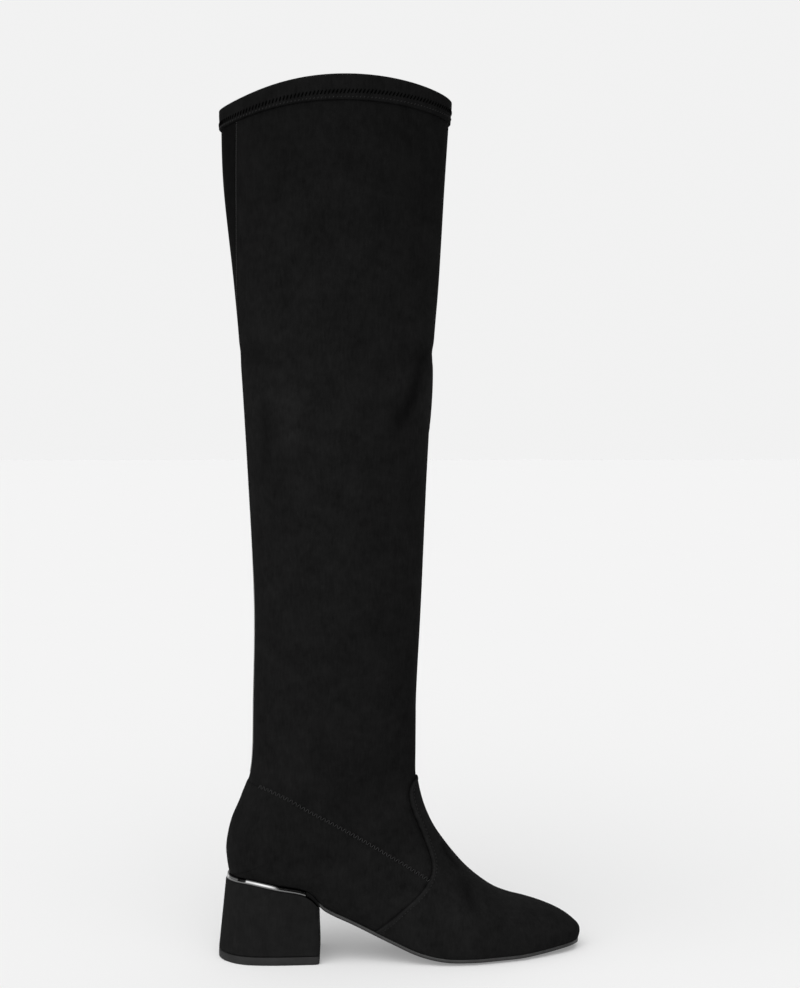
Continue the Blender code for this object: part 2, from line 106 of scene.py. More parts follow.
FOOT = (
    (106.2, 126.5, 0.0, -24.9, 61.5, -31.1, 31.1, -13.0, 13.0, 0.79),
    (107.5, 120.0, 0.0, -14.0, 61.2, -31.0, 31.0, -23.0, 23.0, 0.80),
    (110.1, 110.6, 0.3, 4.0, 57.6, -31.0, 31.0, -26.0, 26.0, 0.80),
    (114.0, 100.5, 0.8, 27.0, 52.6, -31.0, 31.0, -25.4, 24.6, 0.79),
    (118.9, 91.0, 1.4, 40.0, 40.8, -31.3, 30.0, -24.8, 22.0, 0.77),
    (126.0, 80.7, 2.2, 62.0, 30.1, -32.5, 29.5, -25.4, 18.6, 0.75),
    (134.0, 70.4, 3.2, 87.0, 18.1, -34.5, 32.0, -28.5, 22.0, 0.76),
    (142.7, 60.5, 4.4, 107.0, 9.6, -36.5, 37.5, -32.0, 30.0, 0.77),
    (153.2, 51.1, 5.8, 126.0, 5.6, -37.5, 42.0, -34.5, 37.5, 0.76),
    (164.6, 43.0, 7.2, 146.0, 4.8, -36.0, 45.0, -33.5, 42.0, 0.74),
    (175.8, 38.2, 8.6, 165.0, 4.8, -31.3, 44.0, -29.0, 42.0, 0.72),
    (187.4, 35.1, 10.0, 182.0, 4.9, -25.6, 41.0, -23.8, 39.4, 0.70),
    (198.1, 31.7, 11.2, 197.5, 5.6, -17.4, 37.4, -15.9, 36.0, 0.68),
    (207.6, 28.0, 12.0, 210.0, 6.5, -9.8, 32.6, -8.6, 31.6, 0.66),
    (215.6, 24.0, 12.4, 218.2, 7.1, -3.6, 27.6, -2.8, 26.8, 0.65),
    (222.0, 19.5, 12.5, 223.0, 7.3, 2.6, 22.2, 3.0, 21.8, 0.65),
    (227.0, 14.0, 12.5, 225.3, 7.3, 7.6, 17.4, 7.8, 17.2, 0.65),
    (226.0, 7.3, 12.5, 226.0, 7.3, 12.5, 12.5, 12.5, 12.5, 0.65),
)
SECTION_COLUMNS = (*FOOT_COLUMNS, "side_rise")

# Folds of the photographed outer side, then quieter ones of the inner side.
CREASES = (
    Crease(((2.95, -0.12), (3.12, -0.172), (3.33, -0.20), (3.52, -0.265), (3.72, -0.31)), 1.5, 6.0),
    Crease(((3.00, -0.26), (3.20, -0.29), (3.42, -0.34)), -0.5, 7.0),
    Crease(((3.35, -0.777), (3.60, -0.780), (3.95, -0.787)), 1.1, 6.0),
    Crease(((3.25, -0.66), (3.49, -0.665), (3.80, -0.67)), -0.8, 10.0),
    Crease(((2.93, 0.10), (2.90, 0.0), (2.90, -0.093), (2.99, -0.24)), 0.9, 5.0),
    Crease(((2.90, 0.95), (2.92, 1.0)), 0.8, 5.0),
    Crease(((2.92, -1.0), (2.93, -0.902), (2.99, -0.78)), 0.8, 5.0),
    Crease(((17.7, -0.08), (18.23, -0.122), (19.0, -0.145), (19.54, -0.157)), 1.6, 5.0),
    Crease(((18.0, -0.03), (18.7, -0.06), (19.5, -0.07)), -0.7, 4.0),
    Crease(((19.9, -0.22), (20.28, -0.31), (20.8, -0.40), (21.32, -0.468)), 1.1, 5.6),
    Crease(((20.6, -0.25), (21.1, -0.34), (21.6, -0.42)), -0.5, 4.5),
    Crease(((3.00, 0.0), (3.30, 0.0), (3.62, 0.0)), -1.4, 20.0),
    Crease(((2.95, 0.16), (3.15, 0.21), (3.40, 0.25), (3.65, 0.33)), 1.1, 6.5),
    Crease(((3.30, 0.74), (3.60, 0.76), (3.90, 0.75)), 0.8, 6.5),
    Crease(((18.1, 0.10), (18.8, 0.15), (19.6, 0.17)), 0.6, 3.8),
    Crease(((20.0, 0.24), (20.5, 0.34), (21.2, 0.46)), 0.6, 4.2),
)


def unit2(x: Array, z: Array) -> tuple[Array, Array]:
    """A two-part direction at length one."""
    length = np.maximum(np.hypot(x, z), 1e-9)
    return x / length, z / length


def unit3(vectors: Array) -> Array:
    """Vectors at length one."""
    return vectors / np.maximum(np.linalg.norm(vectors, axis=-1, keepdims=True), 1e-9)


@dataclass
class BootForm:
    """The boot's own form: closed rings down the shaft, then open sections along the foot."""

    ridge_flatness: float = 0.7
    tuck_turn: float = 0.9
    back_fall: float = 2.2
    nap: float = 0.5
    # painted shade in crease troughs and painted highlight on crease ridges, scaled from the relief
    crease_painted_shading: float = 0.36
    # tone by height: darker up the shaft, and a little darker just above the sole
    tone_heights: tuple[float, ...] = (45.0, 75.0, 150.0, 280.0, 400.0, 520.0, 620.0)
    height_tone: tuple[float, ...] = (1.0, 0.91, 0.91, 0.96, 0.99, 0.85, 0.65)
    # painted highlight along the ridge of the foot
    ridge_painted_highlight: float = 0.24
    ridge_highlight_width: float = 0.15
    tone_limits: tuple[float, float] = (0.4, 1.4)
    crease_reach: float = 3.0
    crease_fade: float = 0.6
    seat_ease: float = 0.45
    ease_steps: int = 9
    ease_edge: float = 0.1
    round_heel_rows: int = 3
    base_samples: int = 900
    crease_samples: int = 32
    search_start: float = 0.3
    search_end: float = 0.5
    search_rows: int = 6000
    search_shares: int = 2001
    seat_row: int = len(RINGS) - 1
    last_row: int = len(RINGS) + len(FOOT) - 1
    creases: tuple[Crease, ...] = CREASES
    table: Array = field(init=False)
    arriving: Array = field(init=False)
    leaving: Array = field(init=False)

    def __post_init__(self) -> None:
        """Write rings and foot sections in one table and work out its slopes."""
        rows: list[tuple[float, ...]] = []
        for line in RINGS:
            ring = dict(zip(RING_COLUMNS, line))
            ridge = (ring["front_x"], ring["front_z"], 0.0)
            back = (ring["back_x"], ring["back_z"])
            sides = (-ring["half_width"], ring["half_width"])
            rows.append((*ridge, *back, *sides, 0.0, 0.0, ring["widest"], ring["side_rise"]))
        rows.extend((*line, 0.0) for line in FOOT)
        self.table = np.array(rows)
        seat, last = self.seat_row, self.last_row
        self.arriving = np.gradient(self.table, axis=0)
        self.leaving = self.arriving.copy()
        top_x, base_x = SECTION_COLUMNS.index("top_x"), SECTION_COLUMNS.index("base_x")
        base = [SECTION_COLUMNS.index(name) for name in ("base_x", "base_z", "outer_edge", "inner_edge")]
        self.arriving[seat, base] = np.gradient(self.table[: seat + 1], axis=0)[-1, base]
        self.leaving[seat, base] = np.gradient(self.table[seat:], axis=0)[0, base]
        self.leaving[seat, base_x] = 0.0
        self.arriving[last, [top_x, base_x]] = 0.0
        self.base_rows = np.linspace(seat, last, self.base_samples)
        value = self.section(self.base_rows)[0]
        self.base_x, self.base_z = value["base_x"], value["base_z"]

    def section(self, row: Array) -> tuple[dict[str, Array], dict[str, Array]]:
        """Section values by column name on smooth cubics, and their slopes.

        Args:
            row: Places down the table.

        Returns:
            Values and slopes, each by column name.
        """
        row = np.clip(np.asarray(row, float), 0.0, self.last_row)
        start = np.minimum(np.ceil(row).astype(int) - 1, self.last_row - 1).clip(0)
        t = (row - start)[..., None]
        a, b = self.table[start], self.table[start + 1]
        slope_a, slope_b = self.leaving[start], self.arriving[start + 1]
        value = (2 * t**3 - 3 * t**2 + 1) * a + (3 * t**2 - 2 * t**3) * b
        value = value + (t**3 - 2 * t**2 + t) * slope_a + (t**3 - t**2) * slope_b
        slope = (6 * t**2 - 6 * t) * (a - b) + (3 * t**2 - 4 * t + 1) * slope_a
        slope = slope + (3 * t**2 - 2 * t) * slope_b
        by_name = [dict(zip(SECTION_COLUMNS, np.moveaxis(part, -1, 0))) for part in (value, slope)]
        return by_name[0], by_name[1]

    def base_height(self, x: Array) -> Array:
        """Height of the line where the upper meets the sole."""
        return np.interp(x, self.base_x, self.base_z)

    def row_at_x(self, x: float) -> float:
        """The foot section that meets the sole at this place along the foot."""
        return float(np.interp(x, self.base_x, self.base_rows))

    def base_point(self, row: Array, side: Array, grow: float | Array) -> tuple[Array, Array, Array, Array]:
        """Where the wall meets the sole, or the back of a ring, on the form grown outwards.

        Args:
            row: Places down the table.
            side: -1 for the outer side, 1 for the inner side.
            grow: Distance outwards in millimetres.

        Returns:
            x, y, z, and the share of the growth that the widest point beside it takes.
        """
        row = np.asarray(row, float)
        value, slope = self.section(row)
        edge = np.where(side < 0, value["outer_edge"], value["inner_edge"])
        edge_slope = np.where(side < 0, slope["outer_edge"], slope["inner_edge"])
        back_x, back_z = unit2(slope["base_z"], -slope["base_x"])
        plan_x, plan_y = unit2(-side * edge_slope, side * slope["base_x"])
        closed = row <= self.seat_row
        x = value["base_x"] + grow * np.where(closed, back_x, plan_x)
        y = np.where(closed, 0.0, edge + grow * plan_y)
        z = np.where(row < self.seat_row, value["base_z"] + grow * back_z, self.base_height(x))
        reach = np.where(row <= self.seat_row + self.round_heel_rows, 1.0, np.abs(plan_y))
        return x, y, z, reach

    def point(self, row: Array, around: Array, grow: float | Array = 0.0) -> Array:
        """A point of the plain form in millimetres.

        Args:
            row: Places down the table.
            around: -1 at the outer edge or the back, 0 on the ridge, 1 at the inner edge or the back.
            grow: Distance outwards in millimetres.

        Returns:
            Points, with x, y, z on the last axis.
        """
        row, around = np.broadcast_arrays(np.asarray(row, float), np.asarray(around, float))
        value, slope = self.section(row)
        side = np.where(around < 0, -1.0, 1.0)
        share = np.abs(around)
        out_x, out_z = unit2(-slope["top_z"], slope["top_x"])
        top_x = value["top_x"] + grow * out_x
        top_z = value["top_z"] + grow * out_z
        base_x, edge, base_z, reach = self.base_point(row, side, grow)
        ridge, widest = value["ridge_y"], value["widest"]
        outmost = np.where(side < 0, value["outer_max"], value["inner_max"]) + side * grow * reach
        in_part, down = self.profile(row, share, widest)
        above, below = ridge + (outmost - ridge) * in_part, outmost + (edge - outmost) * in_part
        y = np.where(share <= widest, above, below)
        x = top_x + (base_x - top_x) * down
        arch = np.sin(np.pi * share) ** (2.0 + self.back_fall * np.clip(share - 0.5, 0.0, 0.5))
        z = top_z + (base_z - top_z) * down + value["side_rise"] * arch
        return np.stack([x, y, z], axis=-1)

    def profile(self, row: Array, share: Array, widest: Array) -> tuple[Array, Array]:
        """A section's run: how far it has gone sideways in its present part, and how far down overall.

        Args:
            row: Places down the table.
            share: Places from ridge (0) to edge (1).
            widest: Where the section is widest.

        Returns:
            Sideways share of the part above or below the widest point, and share from top to base.
        """
        roundness = 1.0 - self.ridge_flatness * (widest - 0.5)
        turn = np.clip(share / widest, 0.0, 1.0) * np.pi / 2
        sine = np.clip(np.sin(turn), 0.0, 1.0) ** roundness
        cosine = np.clip(np.cos(turn), 0.0, 1.0) ** roundness
        opened = np.clip(row - self.seat_row, 0.0, 1.0)
        last_turn = np.pi / 2 + (self.tuck_turn - np.pi / 2) * opened**2 * (3.0 - 2.0 * opened)
        tuck = np.clip((share - widest) / (1.0 - widest), 0.0, 1.0) * last_turn
        tuck_in = (1.0 - np.cos(tuck)) / (1.0 - np.cos(last_turn))
        tuck_down = widest + (1.0 - widest) * np.sin(tuck) / np.sin(last_turn)
        upper = share <= widest
        return np.where(upper, sine, tuck_in), np.where(upper, widest * (1.0 - cosine), tuck_down)

    def normal(self, row: Array, around: Array) -> Array:
        """Outward directions of the plain form.

        Args:
            row: Places down the table.
            around: Places from -1 to 1 around the form.

        Returns:
            Directions at length one.
        """
        step_row, step_around = 0.02, 0.004
        ahead, behind = np.clip(around + step_around, -1, 1), np.clip(around - step_around, -1, 1)
        along = self.point(row + step_row, around) - self.point(row - step_row, around)
        across = self.point(row, ahead) - self.point(row, behind)
        return unit3(np.cross(along, across))

    def relief(self, points: Array) -> Array:
        """How far the creases move points of the plain form outwards, in millimetres.

        Args:
            points: Points of the plain form.

        Returns:
            Movement of each point, negative inwards.
        """
        flat = points.reshape(-1, 3)
        total = np.zeros(len(flat))
        for crease in self.creases:
            places = np.array(crease.path)
            steps = np.linspace(0, len(places) - 1, self.crease_samples)
            rows, around = (np.interp(steps, np.arange(len(places)), part) for part in places.T)
            line = self.point(rows, around)
            room = self.crease_reach * crease.width
            near = np.all((flat > line.min(0) - room) & (flat < line.max(0) + room), axis=1)
            away = np.linalg.norm(flat[near][:, None] - line[None], axis=-1)
            nearest = away.argmin(axis=1)
            fade = np.sin(np.pi * (nearest + 0.5) / self.crease_samples) ** self.crease_fade
            total[near] -= crease.depth * fade * np.exp(-((away.min(axis=1) / crease.width) ** 2))
        return total.reshape(points.shape[:-1])

    def eased(self, row: Array, around: Array, grow: float | Array) -> Array:
        """Points of the plain form with a softer bend over the heel seat, in millimetres.

        Args:
            row: Places down the table.
            around: Places from -1 to 1 around the form.
            grow: Distance outwards in millimetres.

        Returns:
            Points, with x, y, z on the last axis.
        """
        near_seat = np.exp(-(((row - self.seat_row) / self.seat_ease) ** 2))
        reach = self.seat_ease * near_seat * np.clip((1.0 - np.abs(around)) / self.ease_edge, 0.0, 1.0)
        steps = np.linspace(-1.0, 1.0, self.ease_steps)
        return np.mean([self.point(row + step * reach, around, grow) for step in steps], axis=0)

    def dressed(self, row: Array, around: Array, grow: float | Array = 0.0) -> Array:
        """Points of the form with its creases and the height of its nap, in millimetres.

        Args:
            row: Places down the table.
            around: Places from -1 to 1 around the form.
            grow: Distance outwards in millimetres.

        Returns:
            Points, with x, y, z on the last axis.
        """
        row, around = np.broadcast_arrays(np.asarray(row, float), np.asarray(around, float))
        lift = self.relief(self.point(row, around))
        return self.eased(row, around, grow + self.nap) + self.normal(row, around) * lift[..., None]

    def painted_fold_light(self, row: Array, around: Array) -> Array:
        """Painted light on the nap: painted shade in troughs, painted highlights on ridges and along the
        instep, and a tone set by height, darker up the shaft.

        Args:
            row: Places down the table.
            around: Places from -1 to 1 around the form.

        Returns:
            Tone, 1 for the plain nap.
        """
        points = self.point(row, around)
        blended_tone = np.interp(points[..., 2], self.tone_heights, self.height_tone)
        on_foot = np.clip(row - self.seat_row, 0.0, 1.0)
        # Painted highlight along the ridge of the foot.
        blended_tone = blended_tone * (1.0 + self.ridge_painted_highlight * on_foot * np.exp(-((around / self.ridge_highlight_width) ** 2)))
        # Painted shade in crease troughs and painted highlight on crease ridges.
        return blended_tone * np.clip(1.0 + self.crease_painted_shading * self.relief(points), *self.tone_limits)

    def place(self, x: float, z: float) -> tuple[float, float]:
        """Row and share of a point given in side view.

        Args:
            x: Along the foot.
            z: Height.

        Returns:
            The row, and the share from ridge (0) to edge (1), below 0 ahead of the ridge.
        """
        rows = np.linspace(self.search_start, self.last_row - self.search_end, self.search_rows)
        value = self.section(rows)[0]
        run_x, run_z = value["base_x"] - value["top_x"], value["base_z"] - value["top_z"]
        side = run_x * (z - value["top_z"]) - run_z * (x - value["top_x"])
        index = int(np.nonzero(side[:-1] * side[1:] <= 0)[0][0])
        row = float(rows[index])
        down = (x - value["top_x"][index]) * run_x[index] + (z - value["top_z"][index]) * run_z[index]
        down /= run_x[index] ** 2 + run_z[index] ** 2
        share = np.linspace(0.0, 1.0, self.search_shares)
        downs = self.profile(np.full(share.shape, row), share, value["widest"][index])[1]
        return row, float(np.interp(down, downs, share)) if down > 0 else float(down)


@dataclass
class EdgeLine:
    """A cut edge given in side view, with signed distances to it."""

    knots: tuple[tuple[float, float], ...]
    lead: tuple[float, float]
    tail: tuple[float, float]
    steps: int = 12

    def __post_init__(self) -> None:
        """Draw a smooth line through the knots."""
        knots = np.array(self.knots)
        slopes = np.gradient(knots, axis=0)
        line = []
        for a, b, slope_a, slope_b in zip(knots, knots[1:], slopes, slopes[1:]):
            for t in np.arange(self.steps) / self.steps:
                near = (2 * t**3 - 3 * t**2 + 1) * a + (t**3 - 2 * t**2 + t) * slope_a
                far = (3 * t**2 - 2 * t**3) * b + (t**3 - t**2) * slope_b
                line.append(near + far)
        line.append(knots[-1])
        self.line = np.array(line)
        self.full = np.vstack([[self.lead], self.line, [self.tail]])

    def distance(self, x: Array, z: Array) -> Array:
        """Signed distance in side view, positive on the left of the line as it runs.

        Args:
            x: Along the foot.
            z: Height.

        Returns:
            Distances in millimetres.
        """
        points = np.stack([x, z], -1).reshape(-1, 2)
        best = np.full(len(points), np.inf)
        signed = np.zeros(len(points))
        for a, b in zip(self.full, self.full[1:]):
            along = b - a
            share = np.clip((points - a) @ along / (along @ along), 0.0, 1.0)
            offset = points - a - share[:, None] * along
            away = np.hypot(*offset.T)
            cross = along[0] * offset[:, 1] - along[1] * offset[:, 0]
            closer = away < best
            best[closer] = away[closer]
            signed[closer] = np.where(cross >= 0, away, -away)[closer]
        return signed.reshape(x.shape)

    def shifted(self, distance: float) -> Array:
        """The line moved to its left by a distance.

        Args:
            distance: Millimetres.

        Returns:
            Points in side view.
        """
        along = np.gradient(self.line, axis=0)
        left_x, left_z = unit2(-along[:, 1], along[:, 0])
        return self.line + distance * np.stack([left_x, left_z], axis=1)


VAMP_EDGE = EdgeLine(
    (
        (106.9, 131.4), (101.8, 127.6), (99.4, 120.5), (101.2, 109.8), (107.0, 95.4), (111.9, 83.3),
        (115.4, 72.8), (115.3, 64.8), (111.6, 57.3), (104.5, 48.9), (96.0, 41.8), (85.4, 32.3), (70.0, 19.0),
    ),
    lead=(131.9, 140.0),
    tail=(60.0, 5.0),
)
QUARTER_EDGE = EdgeLine(
    (
        (-60.0, 130.0), (-12.0, 128.0), (10.7, 121.5), (28.5, 111.5), (48.5, 100.1), (90.4, 74.8),
        (122.0, 54.6),
    ),
    lead=(-90.0, 130.0),
    tail=(160.0, 30.0),
)
VAMP_ROW = 3.4
VAMP_SHADE = 0.30
VAMP_SHADE_WIDTH = 0.9


def vamp_shadow(x: Array, z: Array) -> Array:
    """Tone of what lies behind the vamp: a dark line along its edge."""
    behind = np.maximum(-VAMP_EDGE.distance(x, z), 0.0)
    return 1.0 - VAMP_SHADE * np.exp(-((behind / VAMP_SHADE_WIDTH) ** 2))


def run_length(line: Array) -> Array:
    """Length along a line at each of its points."""
    return np.concatenate([[0.0], np.cumsum(np.linalg.norm(np.diff(line, axis=0), axis=1))])


def at_lengths(stops: Array, length: Array, columns: Array) -> Array:
    """Values of a line's points at places along its length."""
    return np.stack([np.interp(stops, length, part) for part in columns.T], axis=1)


class Nodes:
    """A node tree with short calls for nodes and links."""

    def __init__(self, tree: bpy.types.NodeTree) -> None:
        """Take a tree to fill."""
        self.tree = tree

    def node(self, kind: str, settings: dict | None = None, inputs: dict | None = None) -> bpy.types.Node:
        """A node with settings and input values.

        Args:
            kind: Node type name.
            settings: Attribute values.
            inputs: Input values by socket name or number; an output socket is linked.

        Returns:
            The node.
        """
        made = self.tree.nodes.new(kind)
        for name, value in (settings or {}).items():
            setattr(made, name, value)
        for name, value in (inputs or {}).items():
            self.feed(made.inputs[name], value)
        return made

    def feed(self, socket: Socket, value: object) -> None:
        """Link an output to a socket, or set the socket's own value.

        Args:
            socket: Input socket.
            value: Output socket, or a plain value.
        """
        if isinstance(value, Socket):
            self.tree.links.new(value, socket)
        else:
            socket.default_value = value

    def math(self, kind: str, a: object, b: object) -> Socket:
        """A sum, difference or product of two numbers."""
        return self.node("ShaderNodeMath", {"operation": kind}, {0: a, 1: b}).outputs[0]


class Graph(Nodes):
    """A material's tree, from coordinates to its shader."""

    def __init__(self, name: str) -> None:
        """Start a material with its shader."""
        self.material = bpy.data.materials.new(name)
        self.material.use_nodes = True
        super().__init__(self.material.node_tree)
        self.shader = self.tree.nodes["Principled BSDF"]

    def coordinates(self, stretch: tuple[float, float, float] = (1.0, 1.0, 1.0)) -> Socket:
        """Object coordinates, stretched along the axes."""
        source = self.node("ShaderNodeTexCoord").outputs["Object"]
        return self.node("ShaderNodeMapping", None, {"Vector": source, "Scale": stretch}).outputs["Vector"]

    def noise(self, place: Socket, scale: float, detail: float) -> Socket:
        """Noise from 0 to 1 at a number of waves a metre."""
        inputs = {"Vector": place, "Scale": scale, "Detail": detail, "Roughness": 0.55}
        return self.node("ShaderNodeTexNoise", None, inputs).outputs[0]

    def weighted(self, *parts: tuple[Socket, float]) -> Socket:
        """Values added up by weight.

        Args:
            parts: Pairs of a value and its weight.

        Returns:
            The sum.
        """
        total, *others = [self.math("MULTIPLY", value, weight) for value, weight in parts]
        for other in others:
            total = self.math("ADD", total, other)
        return total

    def spread(self, value: Socket, low: float, high: float, to: tuple[float, float] = (0.0, 1.0)) -> Socket:
        """Map a range of a value to another range."""
        inputs = {"Value": value, "From Min": low, "From Max": high, "To Min": to[0], "To Max": to[1]}
        return self.node("ShaderNodeMapRange", None, inputs).outputs[0]

    def bump(self, height: Socket, strength: float, distance: float, over: Socket | None = None) -> Socket:
        """A bump of a height in metres, over another normal.

        Args:
            height: Height from 0 to 1.
            strength: Share of the bump that shows.
            distance: Height of a full bump.
            over: Normal that it lies on.

        Returns:
            The new normal.
        """
        inputs = {"Height": height, "Strength": strength, "Distance": distance}
        if over is not None:
            inputs["Normal"] = over
        return self.node("ShaderNodeBump", None, inputs).outputs["Normal"]

    def mix(self, share: object, first: object, second: object, blend: str = "MIX") -> Socket:
        """A mix of two colours."""
        settings = {"data_type": "RGBA", "blend_type": blend}
        return self.node("ShaderNodeMix", settings, {0: share, 6: first, 7: second}).outputs[2]

    def toned(self, colour: Socket) -> Socket:
        """A colour times the tone that the mesh carries, mostly painted shade and painted highlights."""
        tone = self.node("ShaderNodeAttribute", {"attribute_name": "tone"}).outputs["Color"]
        return self.mix(1.0, colour, tone, "MULTIPLY")

    def shade(self, **values: object) -> Material:
        """Set or link the shader's inputs, words joined by an underscore, and give the material.

        Args:
            values: Plain values or output sockets by input name.

        Returns:
            The material.
        """
        for name, value in values.items():
            self.feed(self.shader.inputs[name.replace("_", " ")], value)
        return self.material


def grey(level: float, warmth: float = 0.0) -> tuple[float, float, float, float]:
    """A grey, slightly warm or cool."""
    return (level * (1.0 + warmth), level, level * (1.0 - warmth), 1.0)


@dataclass(frozen=True)
class SuedeFinish:
    """Brushed black suede: mottled nap and short fibre."""

    name: str
    dark: float = 0.0046
    light: float = 0.0104
    cloud_waves: float = 48.0
    patch_waves: float = 170.0
    nap_waves: float = 700.0
    nap_stretch: float = 0.22
    fibre_waves: float = 2400.0

    def build(self) -> Material:
        """Build the finish.

        Returns:
            The material.
        """
        g = Graph(self.name)
        place = g.coordinates()
        strokes = g.coordinates((1.0, 1.0, self.nap_stretch))
        cloud, patch = g.noise(place, self.cloud_waves, 4.0), g.noise(place, self.patch_waves, 4.0)
        nap, fibre = g.noise(strokes, self.nap_waves, 2.0), g.noise(place, self.fibre_waves, 2.0)
        blended_tone = g.weighted((cloud, 0.30), (patch, 0.28), (nap, 0.24), (fibre, 0.18))
        colour = g.mix(g.spread(blended_tone, 0.36, 0.64), grey(self.dark), grey(self.light))
        uneven = g.bump(nap, 0.30, 0.0004, g.bump(patch, 0.30, 0.0008))
        return g.shade(
            Base_Color=g.toned(colour), Roughness=g.spread(fibre, 0.3, 0.7, (0.86, 1.0)),
            Normal=g.bump(fibre, 0.35, 0.00025, uneven), Specular_IOR_Level=0.03,
        )


@dataclass(frozen=True)
class ThreadFinish:
    """Sewing thread with a fine twist."""

    name: str
    dark: float
    light: float
    specular: float = 0.12
    twist_waves: float = 1800.0

    def build(self) -> Material:
        """Build the finish.

        Returns:
            The material.
        """
        g = Graph(self.name)
        twist = g.noise(g.coordinates(), self.twist_waves, 1.0)
        return g.shade(
            Base_Color=g.mix(g.spread(twist, 0.35, 0.65), grey(self.dark), grey(self.light)),
            Roughness=g.spread(twist, 0.3, 0.7, (0.55, 0.75)), Normal=g.bump(twist, 0.4, 0.0002),
            Specular_IOR_Level=self.specular,
        )


@dataclass(frozen=True)
class RubberFinish:
    """Dark moulded rubber with a fine grain and scuffed patches."""

    name: str
    dark: float
    light: float
    roughness: float
    specular: float
    scuff_waves: float = 130.0
    grain_waves: float = 1500.0

    def build(self) -> Material:
        """Build the finish.

        Returns:
            The material.
        """
        g = Graph(self.name)
        place = g.coordinates()
        scuff, grain = g.noise(place, self.scuff_waves, 5.0), g.noise(place, self.grain_waves, 2.0)
        worn = g.spread(g.weighted((scuff, 0.75), (grain, 0.25)), 0.35, 0.65)
        return g.shade(
            Base_Color=g.toned(g.mix(worn, grey(self.dark), grey(self.light))),
            Roughness=g.spread(scuff, 0.3, 0.7, (self.roughness - 0.08, self.roughness + 0.1)),
            Normal=g.bump(grain, 0.2, 0.0002, g.bump(scuff, 0.15, 0.0005)), Specular_IOR_Level=self.specular,
        )


@dataclass(frozen=True)
class SteelFinish:
    """Polished metal with faint drawing lines, darkened in bands by painted shade from the mesh's tone."""

    name: str
    dark: float = 0.44
    light: float = 0.54
    line_waves: float = 220.0
    line_stretch: float = 24.0

    def build(self) -> Material:
        """Build the finish.

        Returns:
            The material.
        """
        g = Graph(self.name)
        lines = g.noise(g.coordinates((1.0, 1.0, self.line_stretch)), self.line_waves, 3.0)
        tint = g.mix(g.spread(lines, 0.3, 0.7), grey(self.dark), grey(self.light))
        return g.shade(
            Base_Color=g.toned(tint), Metallic=1.0, Roughness=g.spread(lines, 0.3, 0.7, (0.04, 0.09)),
            Normal=g.bump(lines, 0.05, 0.0001),
        )


@dataclass(frozen=True)
class LiningFinish:
    """Fine knitted lining or a covered insole."""

    name: str
    dark: float
    light: float
    pitch: float = 0.0011
    worn_waves: float = 60.0
    warmth: float = 0.02

    def build(self) -> Material:
        """Build the finish.

        Returns:
            The material.
        """
        g = Graph(self.name)
        place = g.coordinates()
        scale = 1.0 / (self.pitch * 2.0 * math.pi)
        waves = {"Vector": place, "Scale": scale, "Distortion": 0.6, "Detail": 1.0}
        ribs = g.node("ShaderNodeTexWave", {"bands_direction": "DIAGONAL"}, waves).outputs["Fac"]
        rows = g.node("ShaderNodeTexWave", {"bands_direction": "Z"}, waves).outputs["Fac"]
        knit = g.math("MULTIPLY", ribs, rows)
        share = g.weighted((knit, 0.6), (g.noise(place, self.worn_waves, 3.0), 0.4))
        return g.shade(
            Base_Color=g.mix(share, grey(self.dark, self.warmth), grey(self.light, self.warmth)),
            Roughness=g.spread(knit, 0.0, 1.0, (0.8, 0.95)), Normal=g.bump(knit, 0.4, 0.0003),
            Specular_IOR_Level=0.1,
        )


@dataclass(frozen=True)
class FloorFinish:
    """Plain pale floor of back-lit acrylic, whose own glow keeps shadows light."""

    name: str
    level: float
    glow: float
    cloud_waves: float = 3.0
    cloud_depth: float = 0.002

    def build(self) -> Material:
        """Build the finish.

        Returns:
            The material.
        """
        g = Graph(self.name)
        cloud = g.noise(g.coordinates(), self.cloud_waves, 2.0)
        colour = g.mix(cloud, grey(self.level - self.cloud_depth), grey(self.level + self.cloud_depth))
        return g.shade(
            Base_Color=colour, Roughness=1.0, Specular_IOR_Level=0.0,
            Emission_Color=grey(1.0), Emission_Strength=self.glow,
        )


